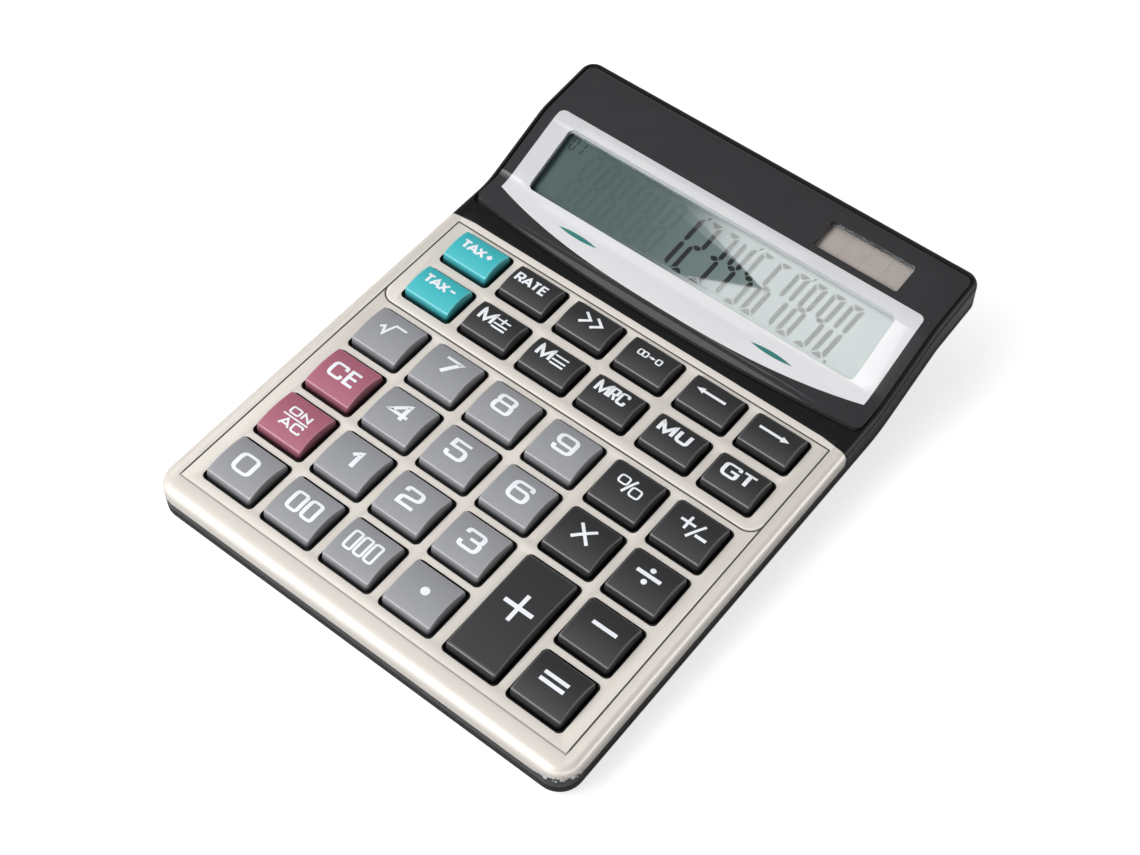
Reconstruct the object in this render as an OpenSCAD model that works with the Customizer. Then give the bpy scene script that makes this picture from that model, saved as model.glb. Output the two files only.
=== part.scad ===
// Desk calculator: a thin case that bends up into a display hood, a one-piece
// display lens, 35 crowned keys on a rubber dome mat, and a wedge base with
// the battery in it.
// Row frame: +X to the user's right, +Y away from the user, +Z up. The origin
// lies on the table under the middle of the case.
// Case frame: the same X, Y back along the keypad surface from the front
// wall, Z square to that surface with the surface at 0.

/* [Case] */
// Width of the case over its side walls
body_w = 150.6; // [144:0.2:158]
// Thickness of the case, square to the keypad
case_t = 12; // [12:0.1:14]
// Height of the upper case from the keypad surface down to the seam
skirt_h = 8.4; // [8.2:0.1:9]
// Open groove between the two case halves
seam = 0.4; // [0.3:0.05:0.6]
// Wall of both case halves
wall = 2; // [1.8:0.1:2.4]
// Thickness of the keypad plate
plate_t = 2.2; // [1.8:0.1:2.3]
// Radius along the upper edges of the case
edge_roll = 2.5; // [1.6:0.1:3]
// Radius along the lower edges of the case
foot_roll = 1.2; // [0.6:0.1:1.6]
// Corner radius at the front, seen from above
front_r = 7.5; // [5:0.5:9]
// Corner radius at the back, seen from above
back_r = 5; // [4.5:0.5:6]
// Angle of the keypad to the table
tilt = 3.5; // [2.5:0.25:5]

/* [Hood] */
// Gap from the last key row to the foot of the display slope
hood_gap = 20.6; // [20:0.2:24]
// Angle of the display slope to the keypad
slope_angle = 21.77; // [18:0.01:24]
// Angle of the hood's rear deck to the keypad
deck_angle = 4.96; // [3:0.01:8]
// Length of the display slope between its bends
slope_l = 30.8; // [30.6:0.1:34]
// Length of the rear deck behind the slope
deck_l = 26; // [25.6:0.1:30]
// Bend radius at the foot of the slope
foot_bend = 20; // [14:1:22]
// Bend radius at the crest of the slope
crest_bend = 18; // [16:1:20]
// Thickness of the hood's top under the rim
hood_t = 3.6; // [3.5:0.1:4]

/* [Lens] */
// Distance from the case's side walls to the display lens
lens_side = 2.2; // [1.8:0.1:2.8]
// Thickness of the display lens
lens_t = 1.5; // [1.2:0.1:1.6]
// Height of the lens over the flat shelf in front of it
lens_proud = 0.3; // [0.2:0.05:0.6]
// Depth of the lens below the rim on the slope
lens_sink = 0.75; // [0.4:0.05:0.9]
// Gap from the last key row to the lens, on the centre line
lens_gap = 8.5; // [7:0.5:9]
// How far the lens's front edge bows towards the user
lens_bow = 4.3; // [3:0.1:5]
// Distance from the lens's back edge to the end of the rear deck
lens_margin = 2.4; // [2:0.1:3]
// Corner radius of the lens
lens_r = 2.5; // [1.5:0.1:3]
// Groove in front of the lens
front_groove = 1.75; // [1:0.05:2]
// Groove at the lens's sides and back
side_groove = 0.4; // [0.3:0.05:0.6]
// Film of adhesive under the lens
bond = 0.1; // [0.05:0.05:0.15]

/* [Display] */
// Distance from the lens's sides to the display window
window_side = 11.1; // [10.1:0.1:14]
// Length of the display window along the slope
window_l = 24.4; // [22:0.2:25]
// Distance from the foot of the lens's slope to the window
window_foot = 2.3; // [2:0.1:3]
// How far the case's openings stand back behind the lens's clear windows
window_relief = 0.8; // [0.4:0.1:1]
// Overlap of the display glass on each side of the window
glass_lap = 1.8; // [1:0.1:1.8]
// Thickness of the display glass, both sheets together
glass_t = 2.2; // [1.8:0.1:2.4]
// Gap between the hood and the display glass
glass_gap = 0.55; // [0.5:0.05:0.8]
// Thickness of the tray that holds the display glass
tray_t = 1.5; // [1.2:0.1:1.6]
// Width of the solar cell's window
solar_w = 30.4; // [26:0.2:32]
// Length of the solar cell's window
solar_l = 11.4; // [10:0.2:12]
// Distance from the lens's right side to the solar cell's window
solar_side = 16.2; // [14:0.2:26]
// Distance from the crest of the slope to the solar window
solar_gap = 6; // [5.5:0.1:7]
// Thickness of the solar cell
solar_t = 1.2; // [0.8:0.1:1.4]

/* [Keys] */
// Distance from the case's side walls to the outer key openings
keypad_side = 9.95; // [9.5:0.05:11]
// Rib between two key openings in a row
col_rib = 3.2; // [3:0.05:4]
// Extra gap between the digit block and the two right-hand columns
block_gap = 0.7; // [0:0.1:1]
// Distance between the rows of large keys
row_pitch = 20.55; // [20.2:0.05:21]
// Distance between the two rows of small keys
small_pitch = 18.1; // [17.8:0.05:18.6]
// Length of a large key's opening
opening_l = 18.05; // [17.4:0.05:18.2]
// Length of a small key's opening
small_l = 14.6; // [13.8:0.1:14.8]
// Corner radius of a key opening
opening_r = 2; // [1:0.1:2.4]
// Distance from the front wall to the first row of openings
front_margin = 10.5; // [10:0.5:14]
// Rib between the small keys and the large keys
step_rib = 6.3; // [5:0.1:8]
// Gap between a key and its opening
key_gap = 0.3; // [0.25:0.05:0.4]
// Height of a key's front and back edge over the plate
edge_h = 1.85; // [1.7:0.05:2.2]
// Height of a key's crown over the plate
crown_h = 3.2; // [2.8:0.1:3.6]
// How far a key's sides lean in by the height of its front edge
side_draft = 0.75; // [0.4:0.05:1]
// How far a key's front and back lean in at their upper edge
end_draft = 1.1; // [0.6:0.05:1.3]
// Wall of a key cap
cap_wall = 1.3; // [1:0.1:1.5]
// Thickness of the lugs that hold a key under the plate
lug_t = 1; // [0.8:0.05:1.1]
// How far a lug reaches under the plate
lug_reach = 0.9; // [0.6:0.05:1]
// Length of a lug
lug_l = 7; // [5:0.5:9]
// Key travel
travel = 1.5; // [1:0.1:1.6]

/* [Inside] */
// Thickness of the dome mat's sheet
mat_t = 0.8; // [0.6:0.1:1]
// Radius of a dome at the sheet
dome_r = 4; // [3.4:0.1:4.4]
// Thickness of the main board
board_t = 1.6; // [1.2:0.1:1.6]
// Radius of the posts that carry the main board
post_r = 2; // [1.8:0.1:2.1]
// Radius of the screws' shanks
screw_r = 0.95; // [0.8:0.05:1]
// Radius of the bosses for the case screws
boss_r = 2.8; // [2.5:0.1:2.8]
// Distance from the side wall's face to the case screws
boss_in = 5.2; // [5:0.1:5.2]

/* [Base] */
// How far the wedge base stands in from the sides
base_in = 9; // [8.5:0.5:12]
// Distance from the front wall to the wedge base
base_front = 18; // [16:1:24]
// Distance from the wedge base to the back of the case
base_back = 9; // [8:0.5:12]
// Corner radius of the wedge base
base_r = 6; // [4:0.5:8]
// Floor of the wedge base
base_floor = 2.6; // [2.6:0.1:3]
// Radius of the rubber feet
foot_r = 5; // [4:0.25:6]
// Clearance under the base that the rubber feet give
foot_h = 1.6; // [1.2:0.1:2]
// Depth of the pockets that hold the rubber feet
foot_pocket = 0.8; // [0.5:0.1:1]
// Diameter of the battery
cell_d = 14.5; // [14.2:0.1:14.5]
// Length of the battery
cell_l = 50.5; // [49.5:0.1:50.5]
// Travel of the battery door until it is free
door_travel = 24; // [18:1:28]

/* [Hidden] */
eps = 0.05;
$fn = 48;

// Key layout: name, column from the left, row from the front, rows covered.
KEYS = [
    ["key_0", 0, 0, 1], ["key_00", 1, 0, 1], ["key_000", 2, 0, 1],
    ["key_point", 3, 0, 1], ["key_plus", 4, 0, 2], ["key_equals", 5, 0, 1],
    ["key_on_clear", 0, 1, 1], ["key_1", 1, 1, 1], ["key_2", 2, 1, 1],
    ["key_3", 3, 1, 1], ["key_minus", 5, 1, 1],
    ["key_clear_entry", 0, 2, 1], ["key_4", 1, 2, 1], ["key_5", 2, 2, 1],
    ["key_6", 3, 2, 1], ["key_times", 4, 2, 1], ["key_divide", 5, 2, 1],
    ["key_root", 0, 3, 1], ["key_7", 1, 3, 1], ["key_8", 2, 3, 1],
    ["key_9", 3, 3, 1], ["key_percent", 4, 3, 1], ["key_sign", 5, 3, 1],
    ["key_tax_minus", 0, 4, 1], ["key_memory_add", 1, 4, 1],
    ["key_memory_subtract", 2, 4, 1], ["key_memory_recall", 3, 4, 1],
    ["key_mark_up", 4, 4, 1], ["key_grand_total", 5, 4, 1],
    ["key_tax_plus", 0, 5, 1], ["key_rate", 1, 5, 1], ["key_replay", 2, 5, 1],
    ["key_correct", 3, 5, 1], ["key_check_back", 4, 5, 1], ["key_check_next", 5, 5, 1]
];
FIXED = [
    "upper_case", "lower_case", "display_lens", "lcd_glass", "lcd_tray",
    "lcd_ribbon", "solar_cell", "solar_leads", "main_board", "controller_chip",
    "key_mat", "inner_screws", "case_screws", "battery", "contact_spring",
    "contact_plate", "battery_leads", "battery_door", "rubber_feet"
];

large_rows = 4;
last_row = 5;

// Widths that follow the case's width
col_pitch = (body_w - 2 * keypad_side - block_gap + col_rib) / 6;
opening_w = col_pitch - col_rib;
lens_w = body_w - 2 * lens_side;
window_w = lens_w - 2 * window_side;
solar_x = lens_w / 2 - solar_side - solar_w / 2;

// Keypad layout, in the case frame
function col_x(c) = (c - 2.5) * col_pitch + (c > 3 ? 1 : -1) * block_gap / 2;
function row_l(r) = r < large_rows ? opening_l : small_l;
function row_y(r) = r < large_rows
    ? front_margin + r * row_pitch
    : front_margin + (large_rows - 1) * row_pitch + opening_l + step_rib
        + (r - large_rows) * small_pitch;
function key_x(k) = col_x(k[1]);
function key_l(k) = row_l(k[2]) + (k[3] - 1) * row_pitch;
function key_y(k) = row_y(k[2]) + key_l(k) / 2;
keypad_back = row_y(last_row) + row_l(last_row);
keypad_half = col_x(5) + opening_w / 2;

// Printed frame line and the step line between small and large keys
line_w = 0.35;
line_depth = 0.25;
frame_side = 5.1;
frame_front = 3.8;
frame_back = 1.5;
frame_half = keypad_half + frame_side;
frame_y0 = front_margin - frame_front;
frame_y1 = keypad_back + frame_back;
step_y = row_y(large_rows) - step_rib * 0.7;
step_r = 5;

// Surface paths along the case: start, foot of the slope, height over the
// keypad surface, slope length, deck length, bend radii at foot and crest.
crest_angle = slope_angle - deck_angle;
foot_y = keypad_back + hood_gap;
case_path = [front_r, foot_y, 0, slope_l, deck_l - back_r, foot_bend, crest_bend];
lens_shift = (lens_proud + lens_sink * cos(slope_angle)) / sin(slope_angle);
lens_foot_y = foot_y + lens_shift * cos(slope_angle) + lens_sink * sin(slope_angle);
lens_slope = slope_l - lens_shift - lens_sink * tan(crest_angle / 2);
lens_y0 = keypad_back + lens_gap;
lens_path = [lens_y0 - 4, lens_foot_y, lens_proud, lens_slope, deck_l + 4, foot_bend,
    crest_bend - lens_sink];

// Points on the case surface, as [y, z] in the case frame
function slope_point(s, n) = [
    foot_y + s * cos(slope_angle) - n * sin(slope_angle),
    s * sin(slope_angle) + n * cos(slope_angle)
];
function deck_point(s, n) = slope_point(slope_l, 0) + [
    s * cos(deck_angle) - n * sin(deck_angle),
    s * sin(deck_angle) + n * cos(deck_angle)
];
lens_y1 = deck_point(deck_l - lens_margin, 0)[0];

// Stand of the case on the table
base_z = foot_h;
lip_clear = 0.6;
lift = base_z + lip_clear + case_t * cos(tilt);
function row_y_of(p) = p[0] * cos(tilt) - p[1] * sin(tilt);
front_reach = edge_roll * (cos(tilt) + sin(tilt) - 1);
back_reach = row_y_of(deck_point(deck_l - foot_roll, foot_roll - case_t)) + foot_roll;
front_y = -(front_reach + back_reach) / 2;
rear_y = front_y + back_reach;

// Depths inside the case, square to the keypad surface
lug_gap = 0.1;
mat_clear = 0.5;
lug_top = -(plate_t + lug_gap);
cap_bottom = lug_top - lug_t;
mat_top = cap_bottom - travel - mat_clear;
board_top = mat_top - mat_t;
plunger_end = cap_bottom - 0.3;
dome_top = plunger_end - 0.05;
plunger_r = 2.2;
lower_top = -(skirt_h + seam);
lip_t = 0.9;
lip_h = 1.6;
lip_gap = 0.15;
floor_top = -(case_t - wall);

// Main board and its posts, at rib crossings; beside the tall key the front
// post stands at its back corner
board_side = 1.1;
board_half = keypad_half + board_side;
board_y0 = 5;
board_y1 = keypad_back + 2.5;
post_x = [for (c = [0, 2, 4]) (col_x(c) + col_x(c + 1)) / 2];
post_y = [
    (row_y(0) + opening_l + row_y(1)) / 2,
    (row_y(2) + opening_l + row_y(3)) / 2,
    (row_y(4) + small_l + row_y(5)) / 2
];
tall_y = (row_y(1) + opening_l + row_y(2)) / 2;
pilot_clear = 0.05;
board_screw_l = 4.6;
root = 0.4;
plate_half = body_w / 2 - wall - 1;
plate_back = lens_y0 - front_groove - 1.4;
head_r = 2;
head_h = 1.2;

// Display stack on the slope, measured square to the slope's rim surface
window_s = lens_shift + window_foot;
glass_s0 = window_s - glass_lap - 0.5;
glass_s1 = window_s + window_l + glass_lap;
glass_top = -(hood_t + glass_gap);
glass_bottom = glass_top - glass_t;
glass_half = window_w / 2 + glass_lap + 2;
tray_x = glass_half - 1.8;
tray_s0 = glass_s0 - 4.4;
tray_s1 = glass_s1 + 3.6;
tray_ear = 3.2;

// Case screws: two at the front, two beside the step, two under the deck
boss_x = body_w / 2 - boss_in;
boss_y = [front_r + 0.5, step_y];
deck_boss_s = deck_l - 8;
boss_end = -6.5;
boss_gap = 0.1;
case_head_r = 2.3;
case_head_h = 1.6;
case_bore_r = case_head_r + 0.4;
case_head_top = -(case_t - 2.4);

// Wedge base, in the row frame
base_half = body_w / 2 - base_in;
base_y0 = front_y + base_front;
base_y1 = rear_y - base_back;
base_inner = base_z + base_floor;
foot_inset = 9;
foot_x = base_half - foot_inset;

// Battery bay in the base
bay_clear = 0.9;
bay_wall = 1.4;
contact_t = 0.4;
bay_half = cell_l / 2 + contact_t + 1.7;
cell_r = cell_d / 2;
cell_y = base_y1 - wall - bay_wall - bay_clear - cell_r;
cell_z = base_inner + 0.3 + cell_r;
bay_y0 = cell_y - cell_r - bay_clear;
bay_y1 = cell_y + cell_r + bay_clear;
bay_top = cell_z + cell_r + bay_clear;
door_half = bay_half - 1.2;
door_clear = 0.25;
door_t = base_floor - 0.35;
tongue_w = 1.3;
tongue_z0 = base_z + 0.95;
tongue_z1 = base_z + 1.75;
tongue_clear = 0.15;
door_y0 = bay_y0 + 0.6;

case_dark = [0.16, 0.16, 0.17];
champagne = [0.87, 0.84, 0.81];
key_grey = [0.56, 0.57, 0.58];
key_black = [0.2, 0.2, 0.21];
key_teal = [0.38, 0.77, 0.78];
key_maroon = [0.67, 0.35, 0.44];

// ---- frames and sweeps ------------------------------------------------

// Puts children from the case frame into the row frame
module in_case() {
    translate([0, front_y, lift]) rotate([tilt, 0, 0]) children();
}

// Frame with its origin on the path's foot corner and Y up the slope
module on_slope(path) {
    translate([0, path[1], path[2]]) rotate([slope_angle, 0, 0]) children();
}

// Frame with its origin on the path's crest corner and Y back along the deck
module on_deck(path) {
    on_slope(path) translate([0, path[3], 0]) rotate([-crest_angle, 0, 0]) children();
}

// Lengths of a path's three straight runs, between its bends
function foot_tangent(path) = path[5] * tan(slope_angle / 2);
function crest_tangent(path) = path[6] * tan(crest_angle / 2);
function flat_run(path) = path[1] - path[0] - foot_tangent(path);
function slope_run(path) = path[3] - foot_tangent(path) - crest_tangent(path);
function deck_run(path) = path[4] - crest_tangent(path);

// Frame at the far end of a bend of radius r (negative when it turns down)
module past_bend(r, a) {
    translate([0, 0, r]) rotate([a, 0, 0]) translate([0, 0, -r]) children();
}

// Straight piece of a section, from here to a distance l
module straight(l) {
    translate([0, l, 0]) rotate([90, 0, 0]) linear_extrude(l) children();
}

// Bent piece of a section: a longer bend cut by the planes at its two ends
module bend(r, a) {
    side = sign(r);
    far = 100;
    spare = 10;
    intersection() {
        translate([0, 0, r]) rotate([0, side * 90, 0])
            rotate_extrude(angle = abs(a) + 2 * spare, start = -spare, $fn = 180)
                translate([abs(r), 0]) rotate(side * 90) children();
        block([-far, 0, -far], [far, far, far]);
        past_bend(r, a) block([-far, -far, -far], [far, 0, far]);
    }
}

// Frames along a path: at the end of its flat run, at the start of its slope,
// at the end of its slope, at the start of its deck and at the deck's end
module flat_end(path) {
    translate([0, path[0], path[2]]) translate([0, flat_run(path), 0]) children();
}

module slope_start(path) {
    flat_end(path) past_bend(path[5], slope_angle) children();
}

module slope_end(path) {
    slope_start(path) translate([0, slope_run(path), 0]) children();
}

module deck_start(path) {
    slope_end(path) past_bend(-path[6], -crest_angle) children();
}

module deck_end(path) {
    deck_start(path) translate([0, deck_run(path), 0]) children();
}

// Sweeps a flat section, drawn across the case, along a bent surface path
module along(path) {
    translate([0, path[0], path[2]]) straight(flat_run(path)) children();
    flat_end(path) bend(path[5], slope_angle) children();
    slope_start(path) straight(slope_run(path)) children();
    slope_end(path) bend(-path[6], -crest_angle) children();
    deck_start(path) straight(deck_run(path)) children();
}

// Edge of a slab from 0 out to reach, with its outer corners rounded
module edge(reach, top, bottom, roll_top, roll_bottom) {
    translate([0, bottom + roll_bottom])
        square([reach, top - bottom - roll_top - roll_bottom]);
    if (roll_top > 0) {
        translate([0, top - roll_top]) square([reach - roll_top, roll_top]);
        translate([reach - roll_top, top - roll_top]) quarter(roll_top);
    }
    if (roll_bottom > 0) {
        translate([0, bottom]) square([reach - roll_bottom, roll_bottom]);
        translate([reach - roll_bottom, bottom + roll_bottom]) mirror([0, 1]) quarter(roll_bottom);
    }
}

// Quarter disc in the first quadrant
module quarter(r) {
    intersection() {
        circle(r);
        square(r + 1);
    }
}

// Symmetric section across the case
module band(half, top, bottom, roll_top = 0, roll_bottom = 0) {
    edge(half, top, bottom, roll_top, roll_bottom);
    mirror([1, 0]) edge(half, top, bottom, roll_top, roll_bottom);
}

// Body of the case between two depths: the swept band, closed at the front
// and back by straight edges and turned corners of the same section
module slab(inset, top, bottom, roll_top = 0, roll_bottom = 0) {
    half = body_w / 2;
    along(case_path) band(half - inset, top, bottom, roll_top, roll_bottom);
    slab_end(front_r, front_r - inset, half, top, bottom, roll_top, roll_bottom, -1);
    deck_end(case_path) slab_end(0, back_r - inset, half - back_r + front_r, top, bottom,
        roll_top, roll_bottom, 1);
}

// One end of the slab: side is -1 at the front and 1 at the back
module slab_end(y, reach, half, top, bottom, roll_top, roll_bottom, side) {
    corner_x = half - front_r;
    turn = side < 0 ? [-90, 180] : [0, 90];
    translate([-corner_x, y, 0]) rotate([90, 0, 90])
        linear_extrude(2 * corner_x) scale_x(side)
            edge(reach, top, bottom, roll_top, roll_bottom);
    translate([corner_x, y, 0]) rotate([0, 0, turn[0]])
        rotate_extrude(angle = 90) edge(reach, top, bottom, roll_top, roll_bottom);
    translate([-corner_x, y, 0]) rotate([0, 0, turn[1]])
        rotate_extrude(angle = 90) edge(reach, top, bottom, roll_top, roll_bottom);
}

// Mirrors a flat shape in X when side is negative
module scale_x(side) {
    if (side < 0) mirror([1, 0]) children();
    else children();
}

// Flat rectangle with round corners, from its lower left corner
module round_rect(x0, y0, x1, y1, r) {
    translate([x0 + r, y0]) square([x1 - x0 - 2 * r, y1 - y0]);
    translate([x0, y0 + r]) square([x1 - x0, y1 - y0 - 2 * r]);
    for (x = [x0 + r, x1 - r], y = [y0 + r, y1 - r]) translate([x, y]) circle(r);
}

// Cylinder between two depths
module post(r, bottom, top) {
    translate([0, 0, bottom]) cylinder(r = r, h = top - bottom);
}

// Block between two corners
module block(low, high) {
    translate(low) cube(high - low);
}

// ---- case -------------------------------------------------------------

// Outline of the lens seen square to the keypad, grown by its grooves: a
// rectangle with a bowed front edge and round corners
module lens_outline(side_grow, front_grow) {
    half = lens_w / 2 + side_grow;
    front = lens_y0 - front_grow;
    bow_r = (lens_w * lens_w / 4 + lens_bow * lens_bow) / (2 * lens_bow);
    corner_r = lens_r + side_grow;
    corner_x = half - corner_r;
    inner_r = bow_r - corner_r;
    corner_y = front + bow_r - sqrt(inner_r * inner_r - corner_x * corner_x) + 0.02;
    difference() {
        intersection() {
            translate([0, front + bow_r]) circle(bow_r, $fn = 720);
            round_rect(-half, front - 2 * corner_r, half, lens_y1 + side_grow, corner_r);
        }
        for (side = [-1, 1]) scale_x(side) translate([corner_x, corner_y]) difference() {
            translate([0, -2 * corner_r]) square(2 * corner_r);
            circle(corner_r);
        }
    }
}

// Recess that the lens sits in, open upwards
module lens_recess() {
    intersection() {
        along(lens_path) band(body_w / 2, 8, -(lens_t + bond));
        translate([0, 0, -10]) linear_extrude(50) lens_outline(side_groove, front_groove);
    }
}

// Openings through the hood behind the lens's two clear windows
module hood_windows() {
    grow = window_relief;
    on_slope(lens_path) translate([0, window_foot, -8]) linear_extrude(9)
        round_rect(-window_w / 2 - grow, -grow, window_w / 2 + grow, window_l + grow, 2);
    on_deck(case_path) translate([solar_x, solar_gap, -8]) linear_extrude(9)
        round_rect(-solar_w / 2 - grow, -grow, solar_w / 2 + grow, solar_l + grow, 0.8);
}

// Openings of all keys
module key_openings() {
    for (k = KEYS) translate([key_x(k), key_y(k), -plate_t - 1]) linear_extrude(plate_t + 2)
        round_rect(-opening_w / 2, -key_l(k) / 2, opening_w / 2, key_l(k) / 2, opening_r);
}

// Fine lines moulded into the keypad: its frame and the step above the digits
module keypad_lines() {
    w = line_w;
    translate([0, 0, -line_depth]) linear_extrude(1) {
        difference() {
            translate([-frame_half, frame_y0]) square([2 * frame_half, frame_y1 - frame_y0]);
            translate([-frame_half + w, frame_y0 + w])
                square([2 * (frame_half - w), frame_y1 - frame_y0 - 2 * w]);
        }
        difference() {
            translate([-frame_half, step_y]) square([2 * frame_half, step_r * 2]);
            round_rect(-frame_half + w, step_y + w, frame_half - w, frame_y1, step_r);
            difference() {
                translate([-frame_half - 1, step_y - 1])
                    square([2 * frame_half + 2, step_r * 2 + 2]);
                round_rect(-frame_half, step_y, frame_half, frame_y1, step_r + w);
            }
        }
    }
}

// Places of the board's screws
module at_board_screws() {
    for (x = post_x, y = post_y)
        translate([x, x == post_x[2] && y == post_y[0] ? tall_y : y, 0]) children();
}

// Places of the case screws under the keypad plate
module at_plate_screws() {
    for (x = [-boss_x, boss_x], y = boss_y) translate([x, y, 0]) children();
}

// Places of the case screws under the rear deck
module at_deck_screws() {
    on_deck(case_path) for (x = [-boss_x, boss_x]) translate([x, deck_boss_s, 0]) children();
}

// Places of all case screws
module at_case_screws() {
    at_plate_screws() children();
    at_deck_screws() children();
}

// Places of the tray's four screws, in the slope frame
module at_tray_screws() {
    on_slope(case_path)
        for (x = [-tray_x, tray_x], s = [tray_s0, tray_s1]) translate([x, s, 0]) children();
}

module upper_case() {
    color(case_dark) in_case() difference() {
        union() {
            difference() {
                slab(0, 0, -skirt_h, edge_roll);
                slab(wall, -hood_t, -skirt_h - 1);
                slab(wall - lip_t - lip_gap, lower_top + lip_h + lip_gap, -skirt_h - 0.5);
                translate([0, 0, -hood_t - 1]) linear_extrude(hood_t + 1 - plate_t)
                    round_rect(-plate_half, wall + 1, plate_half, plate_back, front_r - wall - 1);
            }
            at_board_screws() post(post_r, board_top, -plate_t + root);
            at_plate_screws() post(boss_r, boss_end, -plate_t + root);
            at_deck_screws() post(boss_r, boss_end, -hood_t + root);
            at_tray_screws() post(post_r, glass_bottom, -hood_t + root);
        }
        key_openings();
        keypad_lines();
        lens_recess();
        hood_windows();
        at_board_screws() post(screw_r + pilot_clear, board_top - 1, -plate_t - 0.2);
        at_case_screws() post(screw_r + pilot_clear, boss_end - 1, -hood_t);
        at_tray_screws() post(screw_r + pilot_clear, glass_bottom - 1, -hood_t - 0.4);
    }
}

// Wedge prism of the base; grow is negative for the space inside it
module base_wedge(grow, floor_z) {
    intersection() {
        translate([0, 0, floor_z]) linear_extrude(60)
            round_rect(-base_half - grow, base_y0 - grow, base_half + grow, base_y1 + grow,
                base_r + grow);
        translate([-body_w / 2, 0, 0]) rotate([90, 0, 90]) linear_extrude(body_w) polygon([
            [base_y0 - 5, 0], [base_y1 + 5, 0],
            [base_y1 + 5, lift + row_rise(base_back) - case_t + 3.5],
            [base_y0 - 5, lift + (base_front - 5) * sin(tilt) - case_t + 3.5]
        ]);
    }
}

// Height of the hood's rear deck over the keypad's front edge
function row_rise(inset) = let (p = deck_point(deck_l - inset, 0))
    p[0] * sin(tilt) + p[1] * cos(tilt);

// Battery bay: a closed box over the opening that the door covers
module battery_bay() {
    difference() {
        block([-bay_half - bay_wall, bay_y0 - bay_wall, base_inner - eps],
            [bay_half + bay_wall, bay_y1 + bay_wall, bay_top + bay_wall]);
        block([-bay_half, bay_y0, base_z - 1], [bay_half, bay_y1, bay_top]);
    }
}

// Space for the door and its tongues, open at the back of the base
module door_way() {
    side = door_half + door_clear;
    block([-side, door_y0 - door_clear, base_z - 1], [side, base_y1 + 1, base_inner + eps]);
    block([-side - tongue_w, door_y0 - door_clear, tongue_z0 - tongue_clear],
        [side + tongue_w, base_y1 + 1, tongue_z1 + tongue_clear]);
}

// Places of the rubber feet under the base
module at_feet() {
    for (x = [-foot_x, foot_x], y = [base_y0 + foot_inset, base_y1 - base_floor - foot_inset - 14])
        translate([x, y, 0]) children();
}

module lower_case() {
    color(case_dark) difference() {
        union() {
            difference() {
                union() {
                    in_case() slab(0, lower_top, -case_t, 0, foot_roll);
                    base_wedge(0, base_z);
                }
                in_case() slab(wall, 12, floor_top);
                base_wedge(-wall, base_inner);
            }
            in_case() difference() {
                slab(wall - lip_t, lower_top + lip_h, lower_top - eps);
                slab(wall, lower_top + lip_h + 1, lower_top - 1);
            }
            in_case() intersection() {
                at_case_screws() post(boss_r + 0.6, -case_t + 0.4, boss_end - boss_gap);
                slab(wall - eps, 0, -case_t + foot_roll);
            }
            battery_bay();
        }
        in_case() at_case_screws() {
            post(case_bore_r, -case_t - 2, case_head_top);
            post(screw_r + 0.3, -case_t - 2, boss_end + 1);
        }
        at_feet() post(foot_r + 0.1, base_z - 1, base_z + foot_pocket);
        block([-door_half + 1.2, bay_y0, base_z - 1], [door_half - 1.2, bay_y1, base_inner + 1]);
        door_way();
    }
}

module rubber_feet() {
    color([0.1, 0.1, 0.1]) at_feet() post(foot_r, 0, base_z + foot_pocket);
}

module battery_door() {
    color(case_dark) difference() {
        union() {
            block([-door_half, door_y0, base_z], [door_half, base_y1, base_z + door_t]);
            block([-door_half - tongue_w, door_y0, tongue_z0],
                [door_half + tongue_w, base_y1 - 1, tongue_z1]);
        }
        for (i = [0:4]) block([-8, base_y1 - 4 - i * 1.6, base_z - 1],
            [8, base_y1 - 3.2 - i * 1.6, base_z + 0.4]);
    }
}

// ---- display ----------------------------------------------------------

module display_lens() {
    color([0.24, 0.24, 0.25]) in_case() intersection() {
        along(lens_path) band(body_w / 2, 0, -lens_t);
        translate([0, 0, -10]) linear_extrude(50) lens_outline(0, 0);
    }
}

module lcd_glass() {
    color([0.55, 0.65, 0.62]) in_case() on_slope(case_path)
        block([-glass_half, glass_s0, glass_bottom], [glass_half, glass_s1, glass_top]);
}

module lcd_tray() {
    rim_clear = 0.3;
    rim_t = 1;
    color([0.85, 0.85, 0.83]) in_case() on_slope(case_path) difference() {
        union() {
            block([-glass_half - rim_clear - rim_t, glass_s0, glass_bottom - tray_t],
                [glass_half + rim_clear + rim_t, glass_s1, glass_bottom]);
            for (side = [-1, 1]) scale_x3(side) {
                block([glass_half + rim_clear, glass_s0, glass_bottom - eps],
                    [glass_half + rim_clear + rim_t, glass_s1 - 3, glass_top]);
                for (s = [tray_s0, tray_s1]) translate([tray_x, s, 0])
                    post(tray_ear, glass_bottom - tray_t, glass_bottom);
                block([tray_x - tray_ear, tray_s0, glass_bottom - tray_t],
                    [tray_x + tray_ear, tray_s1, glass_bottom]);
            }
        }
        for (x = [-tray_x, tray_x], s = [tray_s0, tray_s1]) translate([x, s, 0])
            post(screw_r + 0.15, glass_bottom - tray_t - 1, glass_bottom + 1);
    }
}

// Mirrors a solid in X when side is negative
module scale_x3(side) {
    if (side < 0) mirror([1, 0, 0]) children();
    else children();
}

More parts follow.
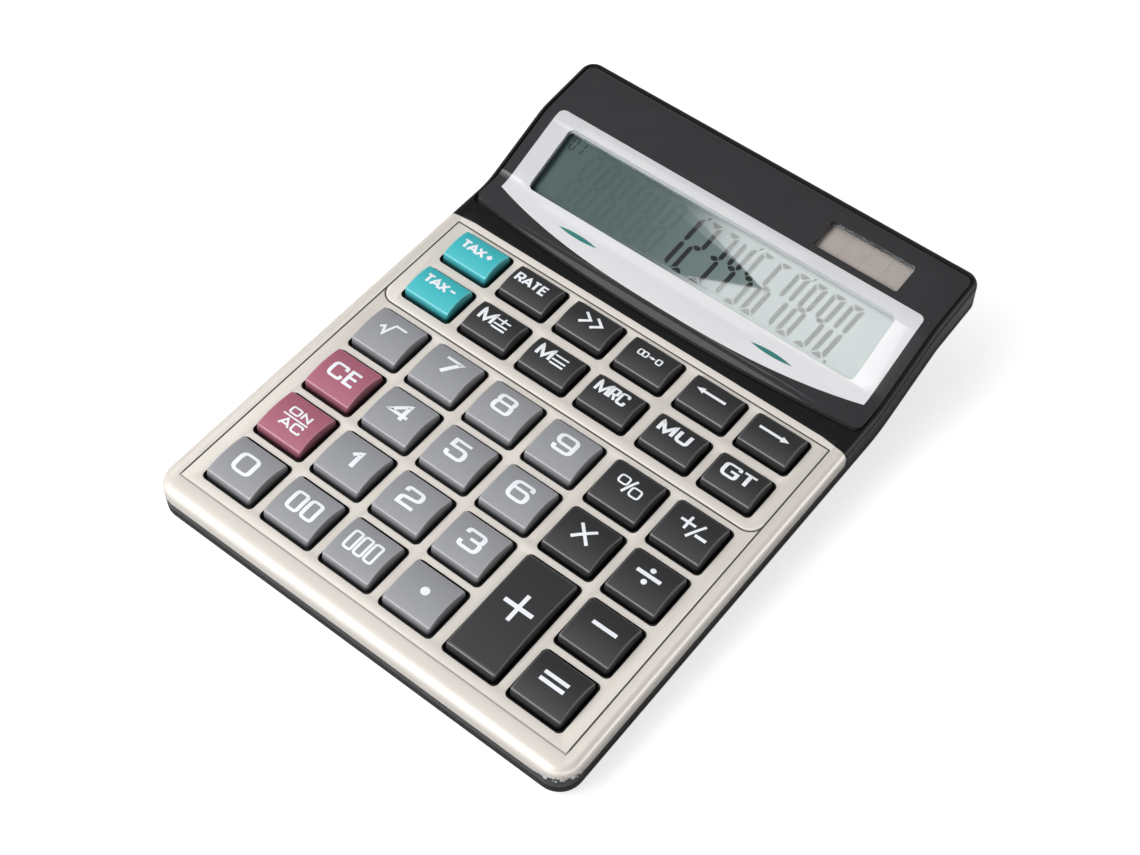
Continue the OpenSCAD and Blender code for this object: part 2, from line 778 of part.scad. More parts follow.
// Ribbon from the lower edge of the display glass to the main board
module lcd_ribbon() {
    ribbon_t = 0.25;
    ribbon_half = 48;
    gap = 0.02;
    top = slope_point(glass_s0 - gap, glass_top);
    turn = slope_point(glass_s0 - gap, glass_bottom + 0.4);
    outer = slope_point(glass_s0 - gap - ribbon_t, glass_top);
    outer_turn = slope_point(glass_s0 - gap - ribbon_t, glass_bottom + 0.6);
    color([0.75, 0.5, 0.2]) in_case() translate([-ribbon_half, 0, 0]) rotate([90, 0, 90])
        linear_extrude(2 * ribbon_half) polygon([
            outer, top, turn, [board_y1 + 1.5, board_top + gap],
            [board_y1 - 4, board_top + gap], [board_y1 - 4, board_top + gap + ribbon_t],
            [board_y1 + 1.5, board_top + gap + ribbon_t], outer_turn
        ]);
}

module solar_cell() {
    color([0.45, 0.4, 0.37]) in_case() on_deck(case_path) block(
        [solar_x - solar_w / 2 - glass_lap, solar_gap - glass_lap, -hood_t - solar_t],
        [solar_x + solar_w / 2 + glass_lap, solar_gap + solar_l + glass_lap, -hood_t]);
}

// Insulated flat wire that follows points in the plane across the case's
// width; lean is the step from its lower to its upper side
module flat_wire(x, points, lean) {
    count = len(points);
    translate([x - wire_w / 2, 0, 0]) rotate([90, 0, 90]) linear_extrude(wire_w)
        polygon(concat(points, [for (i = [1:count]) points[count - i] + lean]));
}

wire_w = 1.1;

module solar_leads() {
    lean = [-0.6, 0.6];
    start = deck_point(solar_gap + 3, -hood_t - solar_t - 0.05) - lean;
    under = slope_point(tray_s1 + 3, glass_bottom - tray_t - 3);
    low = slope_point(tray_s0 - 1, glass_bottom - tray_t - 1.5);
    end = [board_y1 - 2, board_top - board_t - 0.05] - lean;
    color([0.8, 0.1, 0.1]) in_case() for (x = [solar_x - 4, solar_x + 4])
        flat_wire(x, [start, under, low, end], lean);
}

// ---- board, mat and keys ----------------------------------------------

module main_board() {
    color([0.1, 0.35, 0.15]) in_case() difference() {
        block([-board_half, board_y0, board_top - board_t], [board_half, board_y1, board_top]);
        at_board_screws() post(screw_r + 0.15, board_top - board_t - 1, board_top + 1);
    }
}

module controller_chip() {
    blob_r = 9;
    blob_h = 1.5;
    color([0.05, 0.05, 0.05]) in_case()
        translate([col_x(2), row_y(3), board_top - board_t]) intersection() {
            translate([0, 0, blob_r - blob_h]) sphere(blob_r, $fn = 64);
            translate([0, 0, -blob_h]) cylinder(r = blob_r, h = blob_h);
        }
}

// Centres of the domes under one key
function dome_ys(k) = [for (i = [0:k[3] - 1]) row_y(k[2] + i) + row_l(k[2] + i) / 2];

module key_mat() {
    mat_in = 1;
    color([0.75, 0.75, 0.72]) in_case() difference() {
        union() {
            block([-board_half + mat_in, board_y0 + mat_in, board_top],
                [board_half - mat_in, board_y1 - 5, mat_top]);
            for (k = KEYS, y = dome_ys(k)) translate([key_x(k), y, mat_top - eps])
                cylinder(r1 = dome_r, r2 = plunger_r + 0.4, h = dome_top - mat_top + eps);
        }
        at_board_screws() post(post_r + 0.3, board_top - 1, mat_top + 1);
    }
}

// Key cap: straight skirt, drafted sides, crowned top, hollow below, with two
// lugs under the plate and a plunger at each dome
module key_cap(k) {
    w = opening_w - 2 * key_gap;
    l = key_l(k) - 2 * key_gap;
    crown_draft = side_draft * crown_h / edge_h;
    end_lean = end_draft * crown_h / edge_h;
    chord = l / 2 - end_draft;
    sag = crown_h - edge_h;
    crown_r = (chord * chord + sag * sag) / (2 * sag);
    in_case() translate([key_x(k), key_y(k), 0]) {
        difference() {
            union() {
                intersection() {
                    translate([0, 0, cap_bottom]) linear_extrude(crown_h - cap_bottom)
                        round_rect(-w / 2, -l / 2, w / 2, l / 2, opening_r - key_gap);
                    translate([0, l / 2 + 1, 0]) rotate([90, 0, 0]) linear_extrude(l + 2)
                        cap_profile(w / 2, crown_draft);
                    translate([-w / 2 - 1, 0, 0]) rotate([90, 0, 90]) linear_extrude(w + 2)
                        cap_profile(l / 2, end_lean);
                    translate([-w / 2 - 1, 0, crown_h - crown_r]) rotate([0, 90, 0])
                        cylinder(r = crown_r, h = w + 2, $fn = 360);
                }
                for (y = dome_ys(k)) translate([0, y - key_y(k), 0])
                    block([-opening_w / 2 - lug_reach, -lug_l / 2, cap_bottom],
                        [opening_w / 2 + lug_reach, lug_l / 2, lug_top]);
            }
            block([-w / 2 + cap_wall, -l / 2 + cap_wall, cap_bottom - 1],
                [w / 2 - cap_wall, l / 2 - cap_wall, 0.3]);
        }
        for (y = dome_ys(k)) translate([0, y - key_y(k), 0])
            post(plunger_r, plunger_end, 0.3 + eps);
    }
}

// Side view of a cap: straight up to the plate, then leaning in to the crown
module cap_profile(half, lean) {
    polygon([
        [-half, cap_bottom - 1], [half, cap_bottom - 1], [half, 0],
        [half - lean, crown_h], [-half + lean, crown_h], [-half, 0]
    ]);
}

// Colour of a key by its place
function key_color(k) =
    k[1] == 0 && k[2] > 3 ? key_teal
    : k[1] == 0 && (k[2] == 1 || k[2] == 2) ? key_maroon
    : k[1] < 4 && k[2] < 4 ? key_grey
    : key_black;

// ---- fasteners and battery --------------------------------------------

// Pan-head screw, head down, its bearing face at height seat
module screw(seat, reach, top_r, top_h) {
    difference() {
        post(top_r, seat - top_h, seat);
        for (a = [0, 90]) rotate(a) translate([-top_r * 0.6, -0.2, seat - top_h - 0.1])
            cube([top_r * 1.2, 0.4, 0.5]);
    }
    post(screw_r, seat - eps, seat + reach);
}

module inner_screws() {
    color([0.75, 0.75, 0.77]) in_case() {
        at_board_screws() screw(board_top - board_t, board_screw_l, head_r, head_h);
        at_tray_screws() screw(glass_bottom - tray_t, tray_t + 1.8, head_r, head_h);
    }
}

module case_screws() {
    color([0.2, 0.2, 0.2]) in_case() at_case_screws()
        screw(case_head_top, 5.4, case_head_r, case_head_h);
}

module battery() {
    nub_r = 2.7;
    nub_h = 1;
    color([0.7, 0.55, 0.2]) translate([-cell_l / 2 + spring_shift(), cell_y, cell_z])
        rotate([0, 90, 0]) {
            cylinder(r = cell_r - 0.15, h = cell_l - nub_h);
            translate([0, 0, cell_l - nub_h - eps]) cylinder(r = nub_r, h = nub_h + eps);
        }
}

// The battery is pushed against the plate contact by the spring
function spring_shift() = bay_half - contact_t - 0.02 - cell_l / 2;

module contact_spring() {
    coil_r = 4.2;
    coil_wire = 0.4;
    coils = 3;
    gap = 2 * (bay_half - contact_t) - cell_l - 0.04;
    pitch = (gap - 2 * coil_wire + 0.1) / (coils - 1);
    color([0.8, 0.8, 0.8]) translate([-bay_half, cell_y, cell_z]) {
        block([0, -5, -6], [contact_t, 5, cell_r + bay_clear - 0.3]);
        translate([contact_t - 0.1, 0, 0]) {
            for (i = [0:coils - 1]) translate([coil_wire + i * pitch, 0, 0]) rotate([0, 90, 0])
                rotate_extrude() translate([coil_r, 0]) circle(coil_wire, $fn = 16);
            block([0, coil_r - 0.25, -0.25], [gap - coil_wire, coil_r + 0.25, 0.25]);
        }
    }
}

module contact_plate() {
    color([0.8, 0.8, 0.8]) translate([bay_half, cell_y, cell_z])
        block([-contact_t, -5, -6], [0, 5, cell_r + bay_clear - 0.3]);
}

// Leads from over the battery's contacts to the main board
module battery_leads() {
    lean = [-0.2, 0.7];
    board_end = [board_y1 - 6, board_top - board_t - 0.05];
    end = [
        front_y + row_y_of(board_end),
        lift + board_end[0] * sin(tilt) + board_end[1] * cos(tilt)
    ] - lean;
    lead_z = bay_top + bay_wall + 0.1;
    drop_z = lead_z - 8.4;
    color([0.15, 0.15, 0.15]) for (x = [3 - bay_half, bay_half - 3])
        flat_wire(x, [[cell_y, lead_z], [bay_y0 - 2.2, lead_z], [bay_y0 - 10, drop_z], end], lean);
}

// ---- nodes ------------------------------------------------------------

upper_case();
lower_case();
display_lens();
lcd_glass();
lcd_tray();
lcd_ribbon();
solar_cell();
solar_leads();
main_board();
controller_chip();
key_mat();
inner_screws();
case_screws();
battery();
contact_spring();
contact_plate();
battery_leads();
battery_door();
rubber_feet();
for (k = KEYS)
    color(key_color(k)) key_cap(k);
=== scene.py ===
"""Desk calculator: finishes, shells, key caps, legends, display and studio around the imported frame."""
import logging
from dataclasses import dataclass, field
from enum import Enum
from math import cos, hypot, pi, radians, sin, sqrt
from typing import Any, Callable, Optional, Sequence, Union

import bmesh
import bpy
from mathutils import Matrix, Vector


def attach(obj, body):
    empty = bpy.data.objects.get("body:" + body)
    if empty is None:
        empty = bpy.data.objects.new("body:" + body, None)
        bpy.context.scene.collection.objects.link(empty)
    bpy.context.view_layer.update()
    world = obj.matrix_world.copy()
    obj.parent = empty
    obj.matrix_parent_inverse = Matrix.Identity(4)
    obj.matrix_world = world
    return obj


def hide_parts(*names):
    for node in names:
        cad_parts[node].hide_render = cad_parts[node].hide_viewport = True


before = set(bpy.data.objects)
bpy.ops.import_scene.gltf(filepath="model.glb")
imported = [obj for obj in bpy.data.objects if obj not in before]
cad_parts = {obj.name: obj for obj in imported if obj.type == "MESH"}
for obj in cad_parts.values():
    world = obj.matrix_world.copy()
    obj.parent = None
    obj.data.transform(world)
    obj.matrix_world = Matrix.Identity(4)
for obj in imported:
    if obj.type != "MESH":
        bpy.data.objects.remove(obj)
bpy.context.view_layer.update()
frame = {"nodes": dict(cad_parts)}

log = logging.getLogger("calculator")
MM = 0.001
TINY = 1e-6
Point = tuple[float, float]
Colour = tuple[float, float, float]
Point3 = tuple[float, float, float]


def paint(red: float, green: float, blue: float) -> Colour:
    """Turn a screen colour of 0 to 255 into the linear colour that a shader takes."""
    def linear(c: float) -> float:
        """One channel."""
        c /= 255
        return c / 12.92 if c <= 0.04045 else ((c + 0.055) / 1.055) ** 2.4
    return linear(red), linear(green), linear(blue)


# ---- places ---------------------------------------------------------------


@dataclass(frozen=True)
class CasePlaces:
    """The case's own directions: x to the right, v along the keypad, n square to it, in millimetres."""
    tilt: float = radians(3.5)
    front: float = -0.10242010629907796
    lift: float = 0.014177617581062403
    foot_v: float = 149.8
    slope_angle: float = radians(21.77)
    slope_length: float = 30.8
    deck_angle: float = radians(4.96)
    lens_foot_v: float = 152.5728
    lens_foot_n: float = 0.3

    def matrix(self) -> Matrix:
        """Place of the case, from millimetres in it to metres on the table."""
        turn = Matrix.Rotation(self.tilt, 4, "X")
        return Matrix.Translation((0, self.front, self.lift)) @ turn @ Matrix.Scale(MM, 4)

    def world(self, x: float, v: float, n: float) -> Vector:
        """A point of the case on the table, in metres."""
        return self.matrix() @ Vector((x, v, n))

    @staticmethod
    def _along(foot: Point, angle: float, x: float, s: float, n: float) -> Vector:
        """A point s along a face that leans up from its foot, and n over the face."""
        ahead, up = cos(angle), sin(angle)
        return Vector((x, foot[0] + s * ahead - n * up, foot[1] + s * up + n * ahead))

    def on_slope(self, x: float, s: float, n: float) -> Vector:
        """A point s up the hood's slope and n over it, in the case's millimetres."""
        return self._along((self.foot_v, 0.0), self.slope_angle, x, s, n)

    def on_lens_slope(self, x: float, s: float, n: float) -> Vector:
        """A point s up the lens's slope and n over the lens, in the case's millimetres."""
        return self._along((self.lens_foot_v, self.lens_foot_n), self.slope_angle, x, s, n)

    def on_deck(self, x: float, s: float, n: float) -> Vector:
        """A point s along the rear deck and n over it, in the case's millimetres."""
        start = self.on_slope(0, self.slope_length, 0)
        return self._along((start.y, start.z), self.deck_angle, x, s, n)


CASE = CasePlaces()


@dataclass(frozen=True)
class PlatePlaces:
    """Key openings and printed lines on the keypad plate, in the case's millimetres."""
    columns: tuple[float, ...] = (-55.85, -33.65, -11.45, 10.75, 33.65, 55.85)
    rows: tuple[float, ...] = (10.5, 31.05, 51.6, 72.15, 96.5, 114.6)
    lower_rows: int = 4
    opening_w: float = 19.0
    opening_l: float = 18.05
    small_l: float = 14.6
    pitch_x: float = 22.2
    pitch_low: float = 20.55
    pitch_high: float = 18.1
    grid_x: float = 66.95
    right_x: float = 22.2
    right_shift: float = 0.7
    low_v: float = 9.25
    high_v: float = 94.75
    upper_v: float = 92.5
    tall_end_x: float = 44.75
    tall_end_v: float = 50.4
    tall_middle_v: float = 29.8
    line_half: float = 70.28
    line_low: float = 6.87
    line_high: float = 130.53
    line_corner: float = 0.2
    line_thick: float = 0.27
    step_low: float = 92.26
    step_high: float = 140.0
    step_corner: float = 5.0
    step_end: float = 97.5


PLATE = PlatePlaces()


# ---- shader trees ---------------------------------------------------------


class Value:
    """One number of a shader tree. Sums on it add Math nodes."""

    def __init__(self, recipe: "Recipe", socket: bpy.types.NodeSocket) -> None:
        """Wrap a socket.

        Args:
            recipe: The tree that the socket belongs to.
            socket: An output that carries a number.
        """
        self.recipe = recipe
        self.socket = socket

    def _maths(self, operation: str, *others: Any, flip: bool = False) -> "Value":
        """Add one Math node.

        Args:
            operation: The node's operation.
            others: Further numbers or values.
            flip: Whether this value comes after the other.

        Returns:
            The result.
        """
        parts = [self, *others]
        return self.recipe.maths(operation, *(reversed(parts) if flip else parts))

    def __add__(self, other: Any) -> "Value":
        """Sum."""
        return self._maths("ADD", other)

    def __sub__(self, other: Any) -> "Value":
        """Difference."""
        return self._maths("SUBTRACT", other)

    def __rsub__(self, other: Any) -> "Value":
        """Difference from a number."""
        return self._maths("SUBTRACT", other, flip=True)

    def __mul__(self, other: Any) -> "Value":
        """Product."""
        return self._maths("MULTIPLY", other)

    def __truediv__(self, other: Any) -> "Value":
        """Quotient."""
        return self._maths("DIVIDE", other)

    def __pow__(self, other: Any) -> "Value":
        """Power."""
        return self._maths("POWER", other)

    def __lt__(self, other: Any) -> "Value":
        """One where this is smaller."""
        return self._maths("LESS_THAN", other)

    def __gt__(self, other: Any) -> "Value":
        """One where this is larger."""
        return self._maths("GREATER_THAN", other)

    def __neg__(self) -> "Value":
        """Opposite."""
        return self._maths("MULTIPLY", -1.0)

    def __abs__(self) -> "Value":
        """Size without sign."""
        return self._maths("ABSOLUTE")

    __radd__ = __add__
    __rmul__ = __mul__

    def least(self, other: Any) -> "Value":
        """The smaller of two."""
        return self._maths("MINIMUM", other)

    def most(self, other: Any) -> "Value":
        """The larger of two."""
        return self._maths("MAXIMUM", other)

    def wave(self) -> "Value":
        """Sine."""
        return self._maths("SINE")

    def part(self) -> "Value":
        """What is left over the whole number."""
        return self._maths("FRACT")

    def ramp(self, start: float, end: float) -> "Value":
        """Rise smoothly from 0 at start to 1 at end."""
        node = self.recipe.node("ShaderNodeMapRange", {"interpolation_type": "SMOOTHSTEP"},
                                {0: self, 1: start, 2: end})
        return Value(self.recipe, node.outputs[0])


class Recipe:
    """One shader tree: a finish, a lamp or the world, and the nodes that are added to it."""
    OUTPUTS = {"MATERIAL": "ShaderNodeOutputMaterial", "WORLD": "ShaderNodeOutputWorld",
               "LIGHT": "ShaderNodeOutputLight"}

    def __init__(self, name: str, owner: Optional[bpy.types.ID] = None) -> None:
        """Start an empty tree.

        Args:
            name: Name of the new material, when there is no owner.
            owner: A lamp or a world that the tree is for.
        """
        self.owner = owner or bpy.data.materials.new(name)
        self.owner.use_nodes = True
        self.tree = self.owner.node_tree
        self.tree.nodes.clear()
        self._place: Optional[tuple[Value, Value, Value]] = None

    def node(self, kind: str, settings: Optional[dict[str, Any]] = None,
             inputs: Optional[dict[Union[str, int], Any]] = None) -> bpy.types.Node:
        """Add a node.

        Args:
            kind: The node's type.
            settings: Properties, and "stops" for a colour ramp, set before the inputs.
            inputs: Values, colours, sockets or nodes by input name or number.

        Returns:
            The node.
        """
        made = self.tree.nodes.new(kind)
        for key, value in (settings or {}).items():
            if key == "stops":
                self._stops(made.color_ramp, value)
            else:
                setattr(made, key, value)
        for key, value in (inputs or {}).items():
            if isinstance(value, Value):
                value = value.socket
            if isinstance(value, bpy.types.Node):
                value = value.outputs[0]
            if isinstance(value, bpy.types.NodeSocket):
                self.tree.links.new(value, made.inputs[key])
            else:
                if isinstance(value, tuple) and made.inputs[key].type == "RGBA":
                    value = (*value[:3], 1.0)
                made.inputs[key].default_value = value
        return made

    @staticmethod
    def _stops(band: bpy.types.ColorRamp, stops: Sequence[tuple[float, Colour]]) -> None:
        """Set a colour ramp's stops from places and colours."""
        while len(band.elements) < len(stops):
            band.elements.new(1.0)
        for element, (place, colour) in zip(band.elements, stops):
            element.position = place
            element.color = (*colour, 1.0)

    def maths(self, operation: str, *parts: Any) -> Value:
        """Add a Math node on numbers or values."""
        made = self.node("ShaderNodeMath", {"operation": operation}, dict(enumerate(parts)))
        return Value(self, made.outputs[0])

    def axes(self, system: str = "Object") -> tuple[Value, Value, Value]:
        """The three numbers of a texture coordinate."""
        at = self.node("ShaderNodeTexCoord").outputs[system]
        split = self.node("ShaderNodeSeparateXYZ", {}, {0: at})
        return Value(self, split.outputs[0]), Value(self, split.outputs[1]), Value(self, split.outputs[2])

    def place(self) -> tuple[Value, Value, Value]:
        """Place on the calculator in the case's directions x, v and n, in millimetres."""
        if self._place is None:
            x, y, z = (part * 1000 for part in self.axes())
            y = y - CASE.front * 1000
            z = z - CASE.lift * 1000
            c, s = cos(CASE.tilt), sin(CASE.tilt)
            self._place = (x, y * c + z * s, z * c - y * s)
        return self._place

    def noise(self, size: float, detail: float = 3.0, stretch: Point3 = (1, 1, 1),
              seed: float = 0.0) -> Value:
        """Cloudy noise.

        Args:
            size: Width of a patch in millimetres.
            detail: Number of finer layers.
            stretch: How much longer patches are along X, Y and Z.
            seed: Shift that gives another pattern.

        Returns:
            Numbers around 0.5.
        """
        at = self.node("ShaderNodeTexCoord").outputs["Object"]
        scale = tuple(1000 / size / s for s in stretch)
        mapped = self.node("ShaderNodeMapping", {}, {"Vector": at, "Scale": scale,
                                                     "Location": (seed, seed * 0.7, seed * 1.3)})
        made = self.node("ShaderNodeTexNoise", {}, {"Vector": mapped, "Scale": 1.0, "Detail": detail})
        return Value(self, made.outputs["Fac"])

    def specks(self, size: float, share: float, seed: float = 0.0) -> Value:
        """Small scattered spots.

        Args:
            size: Distance between neighbouring spots in millimetres.
            share: How large a spot is in its cell.
            seed: Shift that gives another pattern.

        Returns:
            One inside a spot.
        """
        at = self.node("ShaderNodeTexCoord").outputs["Object"]
        mapped = self.node("ShaderNodeMapping", {}, {"Vector": at, "Location": (seed, seed, seed),
                                                     "Scale": (1000 / size,) * 3})
        cells = self.node("ShaderNodeTexVoronoi", {}, {"Vector": mapped, "Scale": 1.0})
        near = Value(self, cells.outputs["Distance"])
        return 1 - near.ramp(share * 0.6, share)

    def mix(self, share: Any, low: Any, high: Any) -> bpy.types.NodeSocket:
        """Blend two colours by a value."""
        made = self.node("ShaderNodeMix", {"data_type": "RGBA"}, {0: share, 6: low, 7: high})
        return made.outputs[2]

    def blend(self, share: Any, low: Any, high: Any) -> Value:
        """Blend two numbers by a value."""
        made = self.node("ShaderNodeMix", {"data_type": "FLOAT"}, {0: share, 2: low, 3: high})
        return Value(self, made.outputs[0])

    def shade(self, colour: Any, amount: Value) -> bpy.types.NodeSocket:
        """Darken or lighten a colour by a factor."""
        grey = self.node("ShaderNodeCombineXYZ", {}, {0: amount, 1: amount, 2: amount})
        made = self.node("ShaderNodeVectorMath", {"operation": "MULTIPLY"}, {0: colour, 1: grey})
        return made.outputs[0]

    def attribute(self, name: str) -> Value:
        """A number that the mesh carries at its points."""
        return Value(self, self.node("ShaderNodeAttribute", {"attribute_name": name}).outputs["Fac"])

    def bump(self, height: Value, depth: float, strength: float = 1.0) -> bpy.types.NodeSocket:
        """Surface relief: height from 0 to 1 over a depth in millimetres."""
        made = self.node("ShaderNodeBump", {}, {"Height": height, "Distance": depth * MM,
                                                "Strength": strength})
        return made.outputs[0]

    def surface(self, **inputs: Any) -> bpy.types.Node:
        """The main shader, with input names written with underscores."""
        named = {key.replace("_", " "): value for key, value in inputs.items()}
        return self.node("ShaderNodeBsdfPrincipled", {}, named)

    def coat(self, **inputs: Any) -> Any:
        """Finish the tree with a main shader that has these inputs."""
        return self.finish(self.surface(**inputs))

    def finish(self, shader: bpy.types.Node) -> Any:
        """Join the shader to the output and return the tree's owner."""
        self.node(self.OUTPUTS[self.owner.id_type], {}, {"Surface": shader.outputs[0]})
        return self.owner


def box_edge(x: Value, v: Value, half: float, low: float, high: float, corner: float) -> Value:
    """Distance to a rounded rectangle, below zero inside.

    Args:
        x: Place across.
        v: Place along.
        half: Half width.
        low: Front edge.
        high: Back edge.
        corner: Corner radius.

    Returns:
        The distance in millimetres.
    """
    across = abs(x) - (half - corner)
    along = abs(v - (low + high) / 2) - ((high - low) / 2 - corner)
    outside = (across.most(0.0) ** 2 + along.most(0.0) ** 2) ** 0.5
    return outside + across.most(along).least(0.0) - corner


# ---- finishes -------------------------------------------------------------


@dataclass(frozen=True)
class CaseLacquer:
    """Champagne lacquer over a dark moulded case, with the bare dark hood, joint edge and worn corners,
    painted highlights on the rounded edges and along the step, and painted shade in the frame and step
    lines and at the front and right of the key openings.
    """
    lacquer: Colour = paint(221, 215, 207)
    moulding: Colour = paint(30, 30, 31)
    stain_and_groove_shade: Colour = paint(62, 58, 54)
    fleck: Colour = paint(226, 232, 238)
    boundary_v: float = 133.3
    boundary_bow: float = 0.12
    boundary_soft: float = 0.06
    paint_low: float = -5.5
    paint_soft: float = 0.1
    gap_shade_shift: float = 0.17
    gap_shade_corner: float = 1.7
    edge_x: Point = (70.8, 74.0)
    front_v: Point = (0.3, 4.4)
    openings: tuple[float, float, float, float] = (66.4, 9.5, 130.4, 2.0)
    between_v: Point = (90.9, 95.9)
    right_corner: Point = (73.0, 2.0)
    left_corner: Point = (73.4, 1.8)

    def build(self) -> bpy.types.Material:
        """Make the material."""
        r = Recipe("case_lacquer")
        x, v, n = r.place()
        ragged = r.noise(1.3, 4.0, seed=2.0)
        fine = r.noise(0.6, 3.0, seed=6.0)
        worn = self._worn(x, v)
        openings = self._openings(x, v)
        bow = (abs(x) - 66.0).most(0.0) * self.boundary_bow
        front = 1 - (v + bow + ragged * 0.1).ramp(self.boundary_v - self.boundary_soft,
                                                  self.boundary_v + self.boundary_soft)
        rise = worn * ragged.ramp(0.4, 0.62) * 1.9 + fine * 0.25
        above = (n - rise).ramp(self.paint_low - self.paint_soft, self.paint_low + self.paint_soft)
        inside = openings * (1 - n.ramp(-0.34, -0.12))
        nick = worn * (1 - (n + 3.2).ramp(0.0, 1.6)) * fine.ramp(0.6, 0.64)
        # Painted shade: on a thin edge at the front and the right of each key opening the lacquer gives way
        # to the dark moulding colour.
        cover = front * above * (1 - inside.most(self._painted_gap_shade(x, v) * openings)) * (1 - nick)
        cloud = r.noise(38.0, 2.0, seed=4.0)
        flake = r.noise(0.16, 1.0, seed=9.0)
        rub = r.noise(1.1, 3.0, (0.3, 26, 0.3), seed=5.0).ramp(0.56, 0.7) * abs(x).ramp(69.0, 72.5)
        # Painted highlight: the colour is lightened on the rounded front and side edges; the same mask also
        # makes them smoother and more metallic.
        rolled_edge_highlight = abs(x).ramp(*self.edge_x).most(1 - v.ramp(*self.front_v))
        # Painted highlight: a light band just inside the step line, in front of the step's end.
        painted_step_highlight = 1 - abs(self._step(x, v) + 0.75).ramp(0.15, 0.5)
        tone = 0.95 + cloud * 0.05 + flake * 0.03 + rub * 0.08 + rolled_edge_highlight * 0.3
        tone = tone + painted_step_highlight * (v < PLATE.step_end) * 0.14
        # Painted shade: the bottom of the frame and step lines is darkened, about half as much along the
        # frame's front edge; the same dark colour also paints the small stains.
        lines = self._lines(x, v) * n.ramp(-0.6, -0.3)
        stain = (r.specks(17.0, 0.017, seed=3.0) * 0.6).most(lines * (0.45 + v.ramp(7.2, 9.0) * 0.45))
        lacquer = r.mix(stain, r.shade(self.lacquer, tone), self.stain_and_groove_shade)
        chips = worn * fine.ramp(0.5, 0.56) * (1 - (n + 3.6).ramp(0.0, 1.4))
        lacquer = r.mix(chips, lacquer, self.fleck)
        grain = r.noise(0.35, 2.0, seed=1.0)
        bare = r.shade(self.moulding, 0.85 + r.noise(5.0, 4.0, seed=7.0) * 0.3)
        rough = r.blend(cover, 0.2 + grain * 0.1, 0.42 + cloud * 0.06 + rub * 0.08 - rolled_edge_highlight * 0.12)
        relief = r.bump(cover + flake * 0.02 + grain * 0.012, 0.03)
        return r.coat(Base_Color=r.mix(cover, bare, lacquer), Roughness=rough, Normal=relief,
                      Metallic=cover * (0.1 + rolled_edge_highlight * 0.3), Specular_IOR_Level=0.35,
                      Coat_Weight=cover * 0.1, Coat_Roughness=0.2)

    def _openings(self, x: Value, v: Value) -> Value:
        """One inside the rectangle that the key openings take."""
        return 1 - box_edge(x, v, *self.openings).ramp(-0.2, 0.0)

    @staticmethod
    def _step(x: Value, v: Value) -> Value:
        """Distance to the step line."""
        return box_edge(x, v, PLATE.line_half, PLATE.step_low, PLATE.step_high, PLATE.step_corner)

    def _painted_gap_shade(self, x: Value, v: Value) -> Value:
        """One on a thin edge of painted shade at the front and the right of each key opening, where the gap
        round the cap is painted dark.
        """
        right = x > PLATE.right_x
        upper = v > PLATE.upper_v
        tall = right * (x < PLATE.tall_end_x) * (v < PLATE.tall_end_v)

        def cell(along: Value, pitch: float) -> Value:
            """Distance from the middle of a cell of the grid."""
            return ((along / pitch).part() - 0.5) * pitch
        local_x = cell(x - right * PLATE.right_shift + PLATE.grid_x, PLATE.pitch_x)
        low = cell(v - PLATE.low_v, PLATE.pitch_low)
        high = cell(v - PLATE.high_v, PLATE.pitch_high)
        local_v = (low * (1 - tall) + (v - PLATE.tall_middle_v) * tall) * (1 - upper) + high * upper
        half_v = PLATE.opening_l / 2 + tall * (PLATE.pitch_low / 2)
        half_v = half_v * (1 - upper) + upper * (PLATE.small_l / 2)
        straight = self.gap_shade_corner - self.gap_shade_shift
        across = abs(local_x - self.gap_shade_shift) - (PLATE.opening_w / 2 - straight)
        along = abs(local_v + self.gap_shade_shift) - (half_v - straight)
        outside = (across.most(0.0) ** 2 + along.most(0.0) ** 2) ** 0.5
        edge = outside + across.most(along).least(0.0) - self.gap_shade_corner
        return (1 - edge.ramp(0.0, 0.1)) * (1 - (v > self.between_v[0]) * (v < self.between_v[1]))

    def _lines(self, x: Value, v: Value) -> Value:
        """One along the frame line and the step line."""
        frame_line = box_edge(x, v, PLATE.line_half, PLATE.line_low, PLATE.line_high, PLATE.line_corner)
        step_line = abs(self._step(x, v)) - PLATE.line_thick
        line = (abs(frame_line) - PLATE.line_thick).least(step_line.most(v - PLATE.step_end))
        return 1 - line.ramp(-0.06, 0.06)

    def _worn(self, x: Value, v: Value) -> Value:
        """One at the front corners, more on the right. The left corner's x counts to the left."""
        (right_x, right_v), (left_x, left_v) = self.right_corner, self.left_corner
        right = ((x - right_x) ** 2 + (v - right_v) ** 2) ** 0.5
        left = ((x + left_x) ** 2 + (v - left_v) ** 2) ** 0.5
        return (1 - right.ramp(3.0, 11.0)).most((1 - left.ramp(1.0, 6.5)) * 0.7)


@dataclass(frozen=True)
class Moulding:
    """Moulded plastic: a plain colour with a fine grain, faint flow marks and dust."""
    name: str
    colour: Colour
    rough: float = 0.35
    grain: float = 0.012
    grain_size: float = 0.3
    gloss: float = 0.5
    dust: float = 0.25

    def build(self) -> bpy.types.Material:
        """Make the material."""
        r = Recipe(self.name)
        grain = r.noise(self.grain_size, 3.0)
        flow = r.noise(14.0, 3.0, (1, 2.5, 1), seed=5.0)
        dust = r.specks(6.0, 0.02, seed=8.0) * self.dust
        tone = 0.93 + flow * 0.1 + grain * 0.04
        colour = r.mix(dust, r.shade(self.colour, tone), paint(176, 174, 170))
        rough = self.rough + flow * 0.08 + grain * 0.05 - 0.06 + dust * 0.3
        return r.coat(Base_Color=colour, Roughness=rough, Normal=r.bump(grain, self.grain),
                      Specular_IOR_Level=self.gloss)


